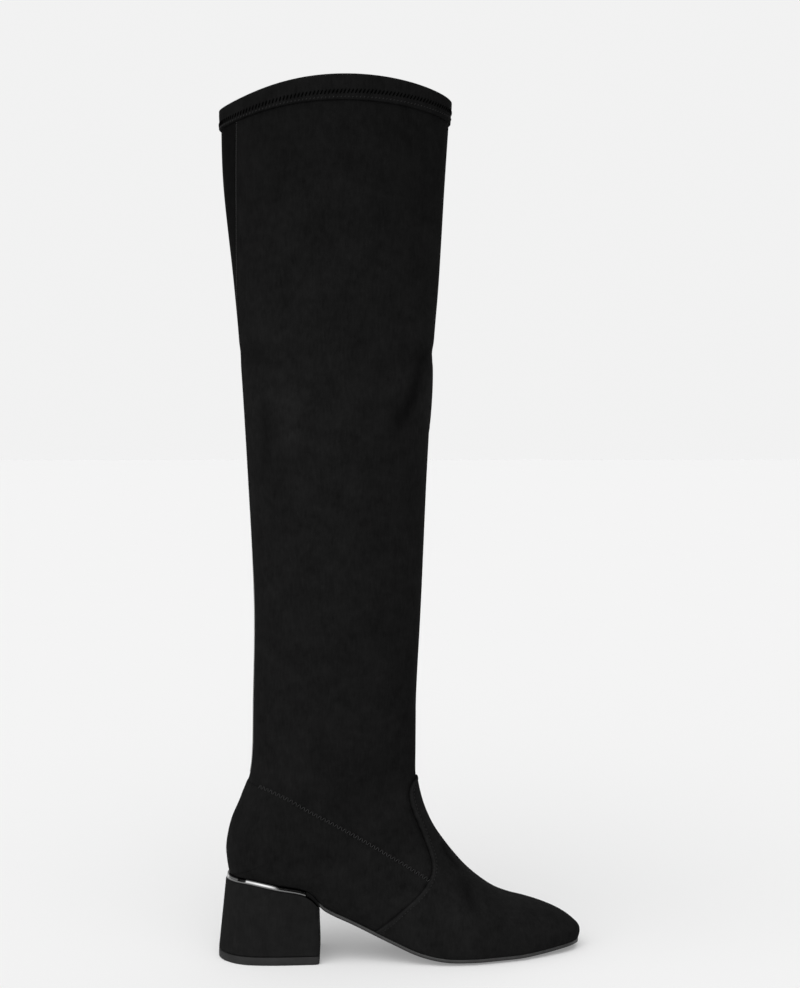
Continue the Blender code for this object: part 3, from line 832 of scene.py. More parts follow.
class MeshPiece:
    """A mesh in the making: points in millimetres, faces, tones and material numbers."""

    def __init__(self, name: str) -> None:
        """Start an empty piece."""
        self.name = name
        self.points: list[Array] = []
        self.tones: list[Array] = []
        self.faces: list[Array] = []
        self.finish_numbers: list[Array] = []
        self.count = 0

    def add_points(self, points: Array, tone: Array | float = 1.0) -> Array:
        """Add points and give their numbers in the same arrangement.

        Args:
            points: Millimetres, x, y, z on the last axis.
            tone: Lightness of the nap at each point.

        Returns:
            Point numbers.
        """
        shape = points.shape[:-1]
        number = np.arange(self.count, self.count + int(np.prod(shape))).reshape(shape)
        self.points.append(points.reshape(-1, 3))
        self.tones.append(np.broadcast_to(np.asarray(tone, float), shape).reshape(-1))
        self.count += number.size
        return number

    def add_faces(self, faces: Array, finish: int = 0) -> None:
        """Add triangles or quads by point number.

        Args:
            faces: Point numbers by face.
            finish: Material number.
        """
        faces = np.asarray(faces)
        self.faces.append(faces)
        self.finish_numbers.append(np.full(len(faces), finish))

    def add_grid(self, numbers: Array, finish: int = 0, closed: bool = False, flip: bool = False) -> None:
        """Add the quads of a grid of point numbers.

        Args:
            numbers: Point numbers by line and place.
            finish: Material number.
            closed: Whether each line runs back to its start.
            flip: Whether faces turn the other way.
        """
        if closed:
            numbers = np.hstack([numbers, numbers[:, :1]])
        quads = [numbers[:-1, :-1], numbers[1:, :-1], numbers[1:, 1:], numbers[:-1, 1:]]
        faces = np.stack([part.ravel() for part in (quads[::-1] if flip else quads)], axis=1)
        self.add_faces(faces, finish)

    def loft(self, loops: Array, tones: Array | float = 1.0, flip: bool = False) -> None:
        """Add a solid through closed loops, with a fan over each end.

        Args:
            loops: Points by loop and place.
            tones: Lightness at each point.
            flip: Whether faces turn the other way.
        """
        numbers = self.add_points(loops, tones)
        self.add_grid(numbers, closed=True, flip=flip)
        for end, turned in ((0, flip), (-1, not flip)):
            middle = self.add_points(loops[end].mean(axis=0, keepdims=True))[0]
            ring = np.append(numbers[end], numbers[end][0])
            fan = np.stack([np.full(len(ring) - 1, middle), ring[:-1], ring[1:]], axis=1)
            self.add_faces(fan[:, ::-1] if turned else fan)

    def build(self, materials: Sequence[Material], sharp_deg: float = 50.0) -> Piece:
        """Make the object: weld, drop empty faces and smooth.

        Args:
            materials: Materials by number.
            sharp_deg: Edges above this angle stay crisp.

        Returns:
            The object, linked to the scene.
        """
        mesh = bpy.data.meshes.new(self.name)
        points = np.vstack(self.points) * MM
        faces = [tuple(face) for block in self.faces for face in block.tolist()]
        mesh.from_pydata(points.tolist(), [], faces)
        mesh.polygons.foreach_set("material_index", np.concatenate(self.finish_numbers).astype(np.int32))
        tone = mesh.attributes.new("tone", "FLOAT", "POINT")
        tone.data.foreach_set("value", np.concatenate(self.tones).astype(np.float32))
        for material in materials:
            mesh.materials.append(material)
        bm = bmesh.new()
        bm.from_mesh(mesh)
        bmesh.ops.remove_doubles(bm, verts=bm.verts, dist=WELD_M)
        bmesh.ops.dissolve_degenerate(bm, edges=bm.edges, dist=EMPTY_EDGE_M)
        bm.to_mesh(mesh)
        bm.free()
        mesh.shade_smooth()
        mesh.set_sharp_from_angle(angle=math.radians(sharp_deg))
        piece = bpy.data.objects.new(self.name, mesh)
        bpy.context.scene.collection.objects.link(piece)
        return piece


def fit_piece(piece: Piece, slot: Slot, *nodes: str) -> Piece:
    """Let a piece ride on the boot, hide the imported parts that it stands for, and report it.

    Args:
        piece: Finished piece.
        slot: Not used.
        nodes: Nodes that it stands for.

    Returns:
        The same piece.
    """
    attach(piece, ROOT)
    if nodes:
        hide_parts(*nodes)
    LOG.info("%s: %d faces", piece.name, len(piece.data.polygons))
    return piece


@dataclass
class Shell:
    """The hollow upper: suede outside, lining inside, with the seam down its back.

    Places of the seam are rows down the form and places around it. Its sizes are in millimetres.
    """

    form: BootForm
    wall: float = WALL
    row_pitch: float = 3.0
    row_samples: int = 4000
    pitch_around: float = -0.45
    side_columns: int = 62
    seam_around: float = -0.868
    seam_rows: tuple[float, ...] = (0.0, 1.0, 1.5, 2.0, 2.4, 4.5, 5.0)
    seam_places: tuple[float, ...] = (-0.824, -0.833, -0.863, -0.914, -0.955, -0.955, -0.985)
    seam_half: float = 0.022
    seam_columns: int = 13
    drawn_to: float = -0.5
    seam_ease: float = 0.4
    ease_steps: int = 9
    seam_depth: float = 0.55
    seam_width: float = 0.9
    seam_shade: float = 0.45
    seam_end_row: float = 7.6
    seam_end_fade: float = 0.4
    roll_height: float = 0.25
    roll_away: float = 2.2
    roll_width: float = 1.3
    girth_rows: tuple[float, ...] = (0.0, 6.0, 9.0)
    half_girth: tuple[float, ...] = (215.6, 158.4, 145.2)
    # painted shade on the band behind the back seam
    band_painted_shade: float = 0.52
    band_width: float = 62.0
    band_fade: float = 26.0
    band_cut: float = 1.5
    band_last: float = -0.955
    band_ease: float = 0.08

    def rows(self) -> Array:
        """Rows at an even pitch along the side of the boot.

        Returns:
            Places down the table.
        """
        rows = np.linspace(0.0, self.form.last_row, self.row_samples)
        length = run_length(self.form.point(rows, np.full(rows.shape, self.pitch_around)))
        even = np.interp(np.arange(0.0, length[-1], self.row_pitch), length, rows)
        return np.append(even, self.form.last_row)

    def seam_at(self, row: Array) -> Array:
        """Where the back seam runs: on the outer side at the top, at the back further down."""
        steps = np.linspace(-self.seam_ease, self.seam_ease, self.ease_steps)
        return np.mean([np.interp(row + step, self.seam_rows, self.seam_places) for step in steps], axis=0)

    def grid(self) -> tuple[Array, Array]:
        """Rows and places around, closer together beside the back seam and drawn along with it.

        Returns:
            Rows, and places around, as grids.
        """
        plain = np.linspace(-1.0, 1.0, 2 * self.side_columns + 1)
        plain = plain[np.abs(plain - self.seam_around) > self.seam_half]
        seam = self.seam_around + np.linspace(-self.seam_half, self.seam_half, self.seam_columns)
        row, around = np.meshgrid(self.rows(), np.sort(np.concatenate([plain, seam])), indexing="ij")
        at = self.seam_at(row)
        behind = -1.0 + (around + 1.0) * (at + 1.0) / (self.seam_around + 1.0)
        ahead = at + (around - self.seam_around) * (self.drawn_to - at) / (self.drawn_to - self.seam_around)
        drawn = np.where(around < self.drawn_to, ahead, around)
        return row, np.where(around < self.seam_around, behind, drawn)

    def seam_relief(self, row: Array, around: Array) -> tuple[Array, Array]:
        """Groove of the back seam, with painted shade in the groove and a band of painted shade behind the
        seam.

        Args:
            row: Places down the form.
            around: Places around.

        Returns:
            Movement outwards in millimetres, and tone.
        """
        girth = np.interp(row, self.girth_rows, self.half_girth)
        seam = self.seam_at(row)
        away = (around - seam) * girth
        along = np.clip((self.seam_end_row - row) / self.seam_end_fade, 0.0, 1.0)
        groove = np.exp(-((away / self.seam_width) ** 2))
        roll = np.exp(-(((away - self.roll_away) / self.roll_width) ** 2))
        behind = np.where(around > 0.0, away - 2.0 * girth, away)
        band = np.clip(-behind / self.band_cut, 0.0, 1.0)
        band = band * np.clip((self.band_width + behind) / self.band_fade, 0.0, 1.0)
        band = band * np.clip((seam - self.band_last) / self.band_ease, 0.0, 1.0)
        # Painted shade in the seam's groove, and a band of painted shade behind the seam where the shaft
        # turns away from the light.
        tone = (1.0 - self.seam_shade * groove * along) * (1.0 - (1.0 - self.band_painted_shade) * band)
        return along * (self.roll_height * roll - self.seam_depth * groove), tone

    def build(self, suede: Material, lining: Material) -> Piece:
        """The shell as one closed wall.

        Args:
            suede: Outside.
            lining: Inside.

        Returns:
            The piece.
        """
        row, around = self.grid()
        sink, tone = self.seam_relief(row, around)
        outside = self.form.dressed(row, around) + self.form.normal(row, around) * sink[..., None]
        tone = tone * self.form.painted_fold_light(row, around) * vamp_shadow(outside[..., 0], outside[..., 2])
        inside = self.form.dressed(row, around, -self.wall)
        closed = int(np.sum(row[:, 0] < self.form.seat_row))
        for face in (outside, inside):
            face[:closed, -1] = face[:closed, 0]
        piece = MeshPiece("upper_shell")
        outer = piece.add_points(outside, tone)
        inner = piece.add_points(inside)
        piece.add_grid(outer)
        piece.add_grid(inner, finish=1, flip=True)
        piece.add_grid(np.stack([inner[0], outer[0]]), finish=1)
        for column, flip in ((0, True), (-1, False)):
            piece.add_grid(np.stack([outer[closed - 1 :, column], inner[closed - 1 :, column]]).T, flip=flip)
        return fit_piece(piece.build([suede, lining]), Slot.SUEDE, "upper")


@dataclass
class Hem:
    """The folded top band, turned over the rim to the inside.

    face holds depth below the topline, swelling and tone; the tone is a painted highlight near the fold.
    Depths of stitches go with stitch_around.
    """

    form: BootForm
    depth: float = 17.0
    thickness: float = 1.35
    turn_in: float = 14.0
    wall: float = WALL
    edge: float = 0.7
    fold_rise: float = 1.1
    # painted highlight on the fold at the topline
    painted_fold_light: float = 1.1
    fold_steps: int = 9
    inner_gap: float = 0.5
    face: tuple[tuple[float, float, float], ...] = (
        (15.2, 0.0, 1.0), (12.0, -0.05, 1.0), (8.0, 0.0, 1.0), (5.0, 0.1, 1.0), (2.0, 0.0, 1.05),
    )
    stitch_around: tuple[float, ...] = (0.0, 0.25, 0.5, 1.0)
    dash_depth: tuple[float, ...] = (7.8, 9.8, 11.6, 12.5)
    end_depth: tuple[float, ...] = (12.4, 14.0, 15.2, 15.2)
    columns: int = 240
    stitch_samples: int = 400

    def row_at(self, depth: float | Array) -> float | Array:
        """Row at a depth below the topline."""
        return depth / (RINGS[0][1] - RINGS[1][1])

    def stitch_path(self, depths: tuple[float, ...]) -> Array:
        """A row of stitches round the band, nearer to the topline at the front.

        Args:
            depths: Depth below the topline at the places of stitch_around.

        Returns:
            Path of row and around.
        """
        around = np.linspace(-1.0, 1.0, self.stitch_samples)
        depth = np.interp(np.abs(around), self.stitch_around, depths)
        return np.stack([self.row_at(depth), around], axis=1)

    def profile(self) -> list[tuple[float, float, float]]:
        """The band's section, from its lower outer edge over the fold to its lower inner edge.

        Returns:
            Depth below the topline, distance from the plain form, and tone.
        """
        out, inn = self.thickness, -self.wall - self.inner_gap
        middle, half = (out + inn) / 2, (out - inn) / 2
        low = self.depth
        # Painted shade along the band's lower edge.
        section = [(low, 0.05, 0.45), (low - 0.1, 0.6 * out, 0.6), (low - self.edge, out, 0.95)]
        section += [(depth, out + swell, tone) for depth, swell, tone in self.face]
        # Painted highlight over the fold.
        for turn in np.linspace(0.0, np.pi, self.fold_steps):
            depth = self.fold_rise * (1.0 - math.sin(turn))
            section.append((depth, middle + half * math.cos(turn), self.painted_fold_light))
        # Painted shade where the band ends inside.
        section += [(4.0, inn, 1.0), (self.turn_in - 0.25, inn, 1.0), (self.turn_in, 0.1 - self.wall, 0.7)]
        return section

    def build(self, suede: Material) -> Piece:
        """The band as one closed ring.

        Args:
            suede: Finish.

        Returns:
            The piece.
        """
        around = np.linspace(-1.0, 1.0, self.columns, endpoint=False)
        piece = MeshPiece("hem_band")
        lines = []
        for depth, grow, tone in self.profile():
            row = np.full(around.shape, self.row_at(depth))
            lines.append(piece.add_points(self.form.dressed(row, around, grow), tone))
        piece.add_grid(np.array([*lines, lines[0]]), closed=True, flip=True)
        return fit_piece(piece.build([suede]), Slot.SUEDE, "hem")


@dataclass
class Panel:
    """A panel sewn over the shell, cut along lines that are given in side view."""

    form: BootForm
    name: str
    node: str
    rows: Array
    columns: Array
    inside: Callable[[Array, Array], Array]
    lift: float
    under: float = 0.12
    edge: float = 0.8
    puff: float = 0.0
    puff_place: float = 1.7
    puff_width: float = 1.1
    # painted highlight on the rolled edge
    puff_painted_highlight: float = 0.40
    puff_highlight_width: float = 1.4
    groove: float = 0.0
    groove_place: float = VAMP_ROW
    groove_width: float = 0.6
    groove_shade: float = 0.25
    groove_shade_width: float = 0.7
    cut_height: float = 0.25
    # painted shade along the cut edge
    cut_painted_shade: float = 0.55
    cut_width: float = 0.45
    behind_vamp: bool = False

    def clip(self) -> tuple[Array, Array, Array]:
        """Cut the grid of the form along the panel's edge.

        Returns:
            Places as row and around, triangles by place number, and each place's distance from the edge.
        """
        row, around = np.meshgrid(self.rows, self.columns, indexing="ij")
        plain = self.form.point(row, around)
        away = self.inside(plain[..., 0], plain[..., 2]).ravel().tolist()
        places = np.stack([row.ravel(), around.ravel()], axis=1).tolist()
        number = np.arange(row.size).reshape(row.shape)
        corners = (number[:-1, :-1], number[1:, :-1], number[1:, 1:], number[:-1, 1:])
        a, b, c, d = (part.ravel() for part in corners)
        triangles = np.vstack([np.stack([a, b, c], 1), np.stack([a, c, d], 1)])
        inner = np.array(away)[triangles] > 0.0
        kept = triangles[inner.all(1)].tolist()
        cuts: dict[tuple[int, int], int] = {}

        def cut(i: int, j: int) -> int:
            """The place where an edge of the grid crosses the panel's edge.

            Args:
                i: Place at one end.
                j: Place at the other end.

            Returns:
                Number of the new place.
            """
            key = (min(i, j), max(i, j))
            if key not in cuts:
                share = away[i] / (away[i] - away[j])
                places.append([p + (q - p) * share for p, q in zip(places[i], places[j])])
                away.append(0.0)
                cuts[key] = len(places) - 1
            return cuts[key]

        for triangle in triangles[inner.any(1) & ~inner.all(1)].tolist():
            polygon = []
            for i, j in zip(triangle, triangle[1:] + triangle[:1]):
                if away[i] > 0.0:
                    polygon.append(i)
                if (away[i] > 0.0) != (away[j] > 0.0):
                    polygon.append(cut(i, j))
            kept.extend([polygon[0], polygon[k], polygon[k + 1]] for k in range(1, len(polygon) - 1))
        used, kept_numbers = np.unique(np.array(kept), return_inverse=True)
        return np.array(places)[used], kept_numbers.reshape(-1, 3), np.array(away)[used]

    def height(self, away: Array) -> Array:
        """Height of the panel's face over the shell at a distance from its edge.

        Args:
            away: Distance inwards from the panel's edge.

        Returns:
            Heights in millimetres.
        """
        rounded = np.sqrt(1.0 - (1.0 - np.clip(away / self.edge, 0.0, 1.0)) ** 2)
        rolled = self.puff * np.exp(-(((away - self.puff_place) / self.puff_width) ** 2))
        sunk = self.groove * np.exp(-(((away - self.groove_place) / self.groove_width) ** 2))
        share = self.cut_height + (1.0 - self.cut_height) * rounded
        return self.under + (self.lift - self.under) * share + rolled - sunk

    def tone(self, away: Array) -> Array:
        """Painted light on the nap: painted shade at the cut, a painted highlight on the rolled edge, painted
        shade in the stitch groove.

        Args:
            away: Distance inwards from the panel's edge.

        Returns:
            Tone, 1 for the plain nap.
        """
        # Painted shade at the cut, painted highlight on the rolled edge, painted shade in the stitch groove.
        cut = self.cut_painted_shade * np.exp(-((away / self.cut_width) ** 2))
        rolled = self.puff_painted_highlight * np.exp(-(((away - self.puff_place) / self.puff_highlight_width) ** 2))
        sunk = self.groove_shade * np.exp(-(((away - self.groove_place) / self.groove_shade_width) ** 2))
        return 1.0 - cut + rolled * (self.puff > 0) - sunk * (self.groove > 0)

    def build(self, suede: Material) -> Piece:
        """The panel as a closed sheet.

        Args:
            suede: Finish.

        Returns:
            The piece.
        """
        places, triangles, away = self.clip()
        row, around = places.T
        piece = MeshPiece(self.name)
        outside = self.form.dressed(row, around, self.height(away))
        tone = self.tone(away) * self.form.painted_fold_light(row, around)
        if self.behind_vamp:
            tone = tone * vamp_shadow(outside[:, 0], outside[:, 2])
        face = piece.add_points(outside, tone)
        back = piece.add_points(self.form.dressed(row, around, self.under))
        piece.add_faces(face[triangles])
        piece.add_faces(back[triangles][:, ::-1])
        edges = np.vstack([triangles[:, [0, 1]], triangles[:, [1, 2]], triangles[:, [2, 0]]])
        joined = np.where((around >= 1.0) & (row < self.form.seat_row), -1.0, around)
        _, same = np.unique(np.round(np.stack([row, joined], axis=1), 9), axis=0, return_inverse=True)
        shared = np.sort(same.ravel()[edges], axis=1)
        _, first, uses = np.unique(shared, axis=0, return_index=True, return_counts=True)
        start, end = edges[first[uses == 1]].T
        piece.add_faces(np.stack([face[end], face[start], back[start], back[end]], axis=1))
        return fit_piece(piece.build([suede], 60.0), Slot.SUEDE, self.node)


@dataclass(frozen=True)
class Sewing:
    """A kind of stitch, in millimetres: distance apart, lean to the side, length and thickness of each."""

    pitch: float
    lean: float
    length: float
    thickness: float
    zigzag: bool = False
    offset: float = 0.0


HEM_DASHES = Sewing(pitch=2.7, lean=4.4, length=4.0, thickness=1.05)
HEM_ENDS = Sewing(pitch=2.7, lean=3.0, length=1.7, thickness=0.7)
BACK_ZIGZAG = Sewing(pitch=3.0, lean=1.8, length=1.6, thickness=0.75, zigzag=True, offset=1.0)
QUARTER_ZIGZAG = Sewing(pitch=3.4, lean=4.2, length=3.2, thickness=0.62, zigzag=True)
VAMP_DOTS = Sewing(pitch=2.7, lean=0.0, length=1.5, thickness=0.7)


@dataclass
class Stitches:
    """A row of thread stitches laid along a path on the boot."""

    form: BootForm
    name: str
    path: Array
    grow: float
    sewing: Sewing
    ball_segments: int = 8
    ball_rings: int = 6

    def lay(self) -> tuple[Array, Array, Array]:
        """Places, run directions and outward directions of the stitches, in millimetres.

        Returns:
            Centres, directions along each stitch, and surface normals.
        """
        row, around = self.path.T
        line = self.form.dressed(row, around, self.grow)
        length = run_length(line)
        half = self.sewing.pitch / 2 if self.sewing.zigzag else self.sewing.pitch
        stops = np.arange(half / 2, length[-1], half)
        tangent = unit3(at_lengths(stops, length, np.gradient(line, length, axis=0)))
        out = self.form.normal(*at_lengths(stops, length, self.path).T)
        across = unit3(np.cross(out, tangent))
        turns = np.where(np.arange(len(stops)) % 2 == 0, 1.0, -1.0)[:, None] if self.sewing.zigzag else 1.0
        run = unit3(tangent * half + across * turns * self.sewing.lean)
        return at_lengths(stops, length, line) + across * self.sewing.offset, run, out

    def tree(self, material: Material) -> bpy.types.NodeTree:
        """A node tree that sets one stitch at each place.

        Args:
            material: Thread finish.

        Returns:
            The tree, with Length and Thickness as its sizes.
        """
        tree = bpy.data.node_groups.new(f"{self.name}_rows", "GeometryNodeTree")
        tree.interface.new_socket("Geometry", in_out="INPUT", socket_type="NodeSocketGeometry")
        for size in ("Length", "Thickness"):
            tree.interface.new_socket(size, in_out="INPUT", socket_type="NodeSocketFloat")
        tree.interface.new_socket("Geometry", in_out="OUTPUT", socket_type="NodeSocketGeometry")
        rows = Nodes(tree)
        start = rows.node("NodeGroupInput").outputs
        round_form = {"Segments": self.ball_segments, "Rings": self.ball_rings, "Radius": 0.5}
        shape = rows.node("GeometryNodeMeshUVSphere", None, round_form).outputs["Mesh"]
        sizes = {"X": start["Length"], "Y": start["Thickness"], "Z": start["Thickness"]}
        scale = rows.node("ShaderNodeCombineXYZ", None, sizes).outputs["Vector"]
        shape = rows.node("GeometryNodeTransform", None, {"Geometry": shape, "Scale": scale}).outputs[0]
        shape = rows.node("GeometryNodeSetShadeSmooth", None, {"Geometry": shape}).outputs[0]
        aim: dict[str, Socket] = {}
        for name, axis, pivot in (("run", "X", "AUTO"), ("out", "Z", "X")):
            kind = {"data_type": "FLOAT_VECTOR"}
            direction = rows.node("GeometryNodeInputNamedAttribute", kind, {"Name": name})
            aim["Vector"] = direction.outputs["Attribute"]
            axes = {"axis": axis, "pivot_axis": pivot}
            turned = rows.node("FunctionNodeAlignRotationToVector", axes, aim)
            aim["Rotation"] = turned.outputs["Rotation"]
        places = {"Points": start["Geometry"], "Instance": shape, "Rotation": aim["Rotation"]}
        laid = rows.node("GeometryNodeInstanceOnPoints", None, places).outputs["Instances"]
        laid = rows.node("GeometryNodeRealizeInstances", None, {"Geometry": laid}).outputs[0]
        dressed = rows.node("GeometryNodeSetMaterial", None, {"Geometry": laid, "Material": material})
        rows.node("NodeGroupOutput", None, {"Geometry": dressed.outputs[0]})
        return tree

    def build(self, material: Material) -> Piece:
        """The stitches as one plain mesh.

        Args:
            material: Thread finish.

        Returns:
            The piece.
        """
        centre, run, out = self.lay()
        places = bpy.data.meshes.new(f"{self.name}_places")
        places.from_pydata((centre * MM).tolist(), [], [])
        for name, values in (("run", run), ("out", out)):
            kept = places.attributes.new(name, "FLOAT_VECTOR", "POINT")
            kept.data.foreach_set("vector", values.ravel())
        holder = bpy.data.objects.new(f"{self.name}_holder", places)
        bpy.context.scene.collection.objects.link(holder)
        rule = holder.modifiers.new("rows", "NODES")
        rule.node_group = self.tree(material)
        items = rule.node_group.interface.items_tree
        sizes = {item.name: item.identifier for item in items if item.in_out == "INPUT"}
        rule[sizes["Length"]] = self.sewing.length * MM
        rule[sizes["Thickness"]] = self.sewing.thickness * MM
        evaluated = holder.evaluated_get(bpy.context.evaluated_depsgraph_get())
        mesh = bpy.data.meshes.new_from_object(evaluated)
        mesh.name = self.name
        bpy.data.objects.remove(holder, do_unlink=True)
        piece = bpy.data.objects.new(self.name, mesh)
        bpy.context.scene.collection.objects.link(piece)
        return fit_piece(piece, Slot.SUEDE)


@dataclass
class Upper:
    """Shell, hem, quarter and vamp with their seams."""

    form: BootForm
    vamp_lift: float = 1.45
    vamp_span: tuple[float, float, float] = (9.0, 20.5, 30.0)
    vamp_lines: tuple[int, int] = (150, 60)
    vamp_columns: int = 191
    quarter_lift: float = 0.6
    quarter_lap: float = 1.5
    quarter_span: tuple[float, float] = (5.5, 21.0)
    quarter_lines: int = 190
    quarter_columns: int = 201
    quarter_sewn_from: float = 6.0
    quarter_line_from: int = 14
    back_sewn_to: float = 7.2
    back_samples: int = 300
    back_thread_lift: float = 0.35
    quarter_thread_lift: float = 0.15
    vamp_thread_sink: float = 0.2

    def side_path(self, line: Array, both: bool = False) -> list[Array]:
        """Places on the form of a line given in side view.

        Args:
            line: Points in side view.
            both: Whether one path runs over the ridge from the outer to the inner side.

        Returns:
            Paths of row and around: over the ridge as one, or one for each side.
        """
        found = [self.form.place(x, z) for x, z in line]
        on = np.array([place for place in found if 0.0 <= place[1] < 1.0])
        outer, inner = on * [1.0, -1.0], on
        if both:
            return [np.vstack([outer[::-1], inner])]
        return [outer, inner]

    def build(self) -> None:
        """Build and dress the whole upper."""
        suede = SuedeFinish("black_suede").build()
        panel_suede = SuedeFinish("black_suede_panel", 0.0052, 0.0112).build()
        band_suede = SuedeFinish("black_suede_hem", 0.0031, 0.0080).build()
        lining = LiningFinish("knitted_lining", 0.010, 0.022).build()
        pale = ThreadFinish("grey_thread", 0.014, 0.030).build()
        black = ThreadFinish("black_thread", 0.0006, 0.0016, 0.0).build()
        soft = ThreadFinish("charcoal_thread", 0.008, 0.018).build()
        shell = Shell(self.form)
        shell.build(suede, lining)
        hem = Hem(self.form)
        hem.build(band_suede)
        self.panels(suede, panel_suede)
        self.seams(shell, hem, pale, black, soft)

    def below_quarter(self, x: Array, z: Array) -> Array:
        """Distance below the quarter's upper edge, up to its lap under the vamp."""
        return np.minimum(-QUARTER_EDGE.distance(x, z), self.quarter_lap - VAMP_EDGE.distance(x, z))

    def panels(self, suede: Material, vamp_suede: Material) -> None:
        """Quarter and vamp.

        Args:
            suede: Finish of the quarter.
            vamp_suede: Finish of the vamp.
        """
        rows = np.linspace(*self.quarter_span, self.quarter_lines)
        columns = np.linspace(-1.0, 1.0, self.quarter_columns)
        Panel(
            self.form, "quarter_panel", "quarter", rows, columns, self.below_quarter, self.quarter_lift,
            edge=1.6, cut_painted_shade=0.25, behind_vamp=True,
        ).build(suede)
        peak, ball, toe = self.vamp_span
        over_foot, over_toe = self.vamp_lines
        rows = np.concatenate([np.linspace(peak, ball, over_foot), np.linspace(ball, toe, over_toe)[1:]])
        columns = np.linspace(-1.0, 1.0, self.vamp_columns)
        Panel(
            self.form, "vamp_panel", "vamp", rows, columns, VAMP_EDGE.distance, self.vamp_lift,
            edge=0.9, puff=0.30, groove=0.35, cut_painted_shade=0.92,
        ).build(vamp_suede)

    def seams(self, shell: Shell, hem: Hem, pale: Material, black: Material, soft: Material) -> None:
        """Thread of every seam.

        Args:
            shell: Upper with the back seam.
            hem: Band with its two rows.
            pale: Thread of the zigzags.
            black: Thread of the hem's dashes.
            soft: Thread of the short stitches.
        """
        dashes, ends = hem.stitch_path(hem.dash_depth), hem.stitch_path(hem.end_depth)
        rows = np.linspace(hem.row_at(hem.depth), self.back_sewn_to, self.back_samples)
        back = np.stack([rows, shell.seam_at(rows)], axis=1)
        outer, inner = self.side_path(QUARTER_EDGE.line[self.quarter_line_from :])
        outer, inner = (path[path[:, 0] > self.quarter_sewn_from] for path in (outer, inner))
        vamp = self.side_path(VAMP_EDGE.shifted(VAMP_ROW), both=True)[0]
        quarter_top = self.quarter_lift + self.quarter_thread_lift
        for name, path, grow, sewing, thread in (
            ("hem_stitches", dashes, hem.thickness, HEM_DASHES, black),
            ("hem_stitch_ends", ends, hem.thickness, HEM_ENDS, soft),
            ("back_seam_stitches", back, self.back_thread_lift, BACK_ZIGZAG, pale),
            ("quarter_stitches_outer", outer, quarter_top, QUARTER_ZIGZAG, pale),
            ("quarter_stitches_inner", inner, quarter_top, QUARTER_ZIGZAG, pale),
            ("vamp_stitches", vamp, self.vamp_lift - self.vamp_thread_sink, VAMP_DOTS, soft),
        ):
            Stitches(self.form, name, path, grow, sewing).build(thread)


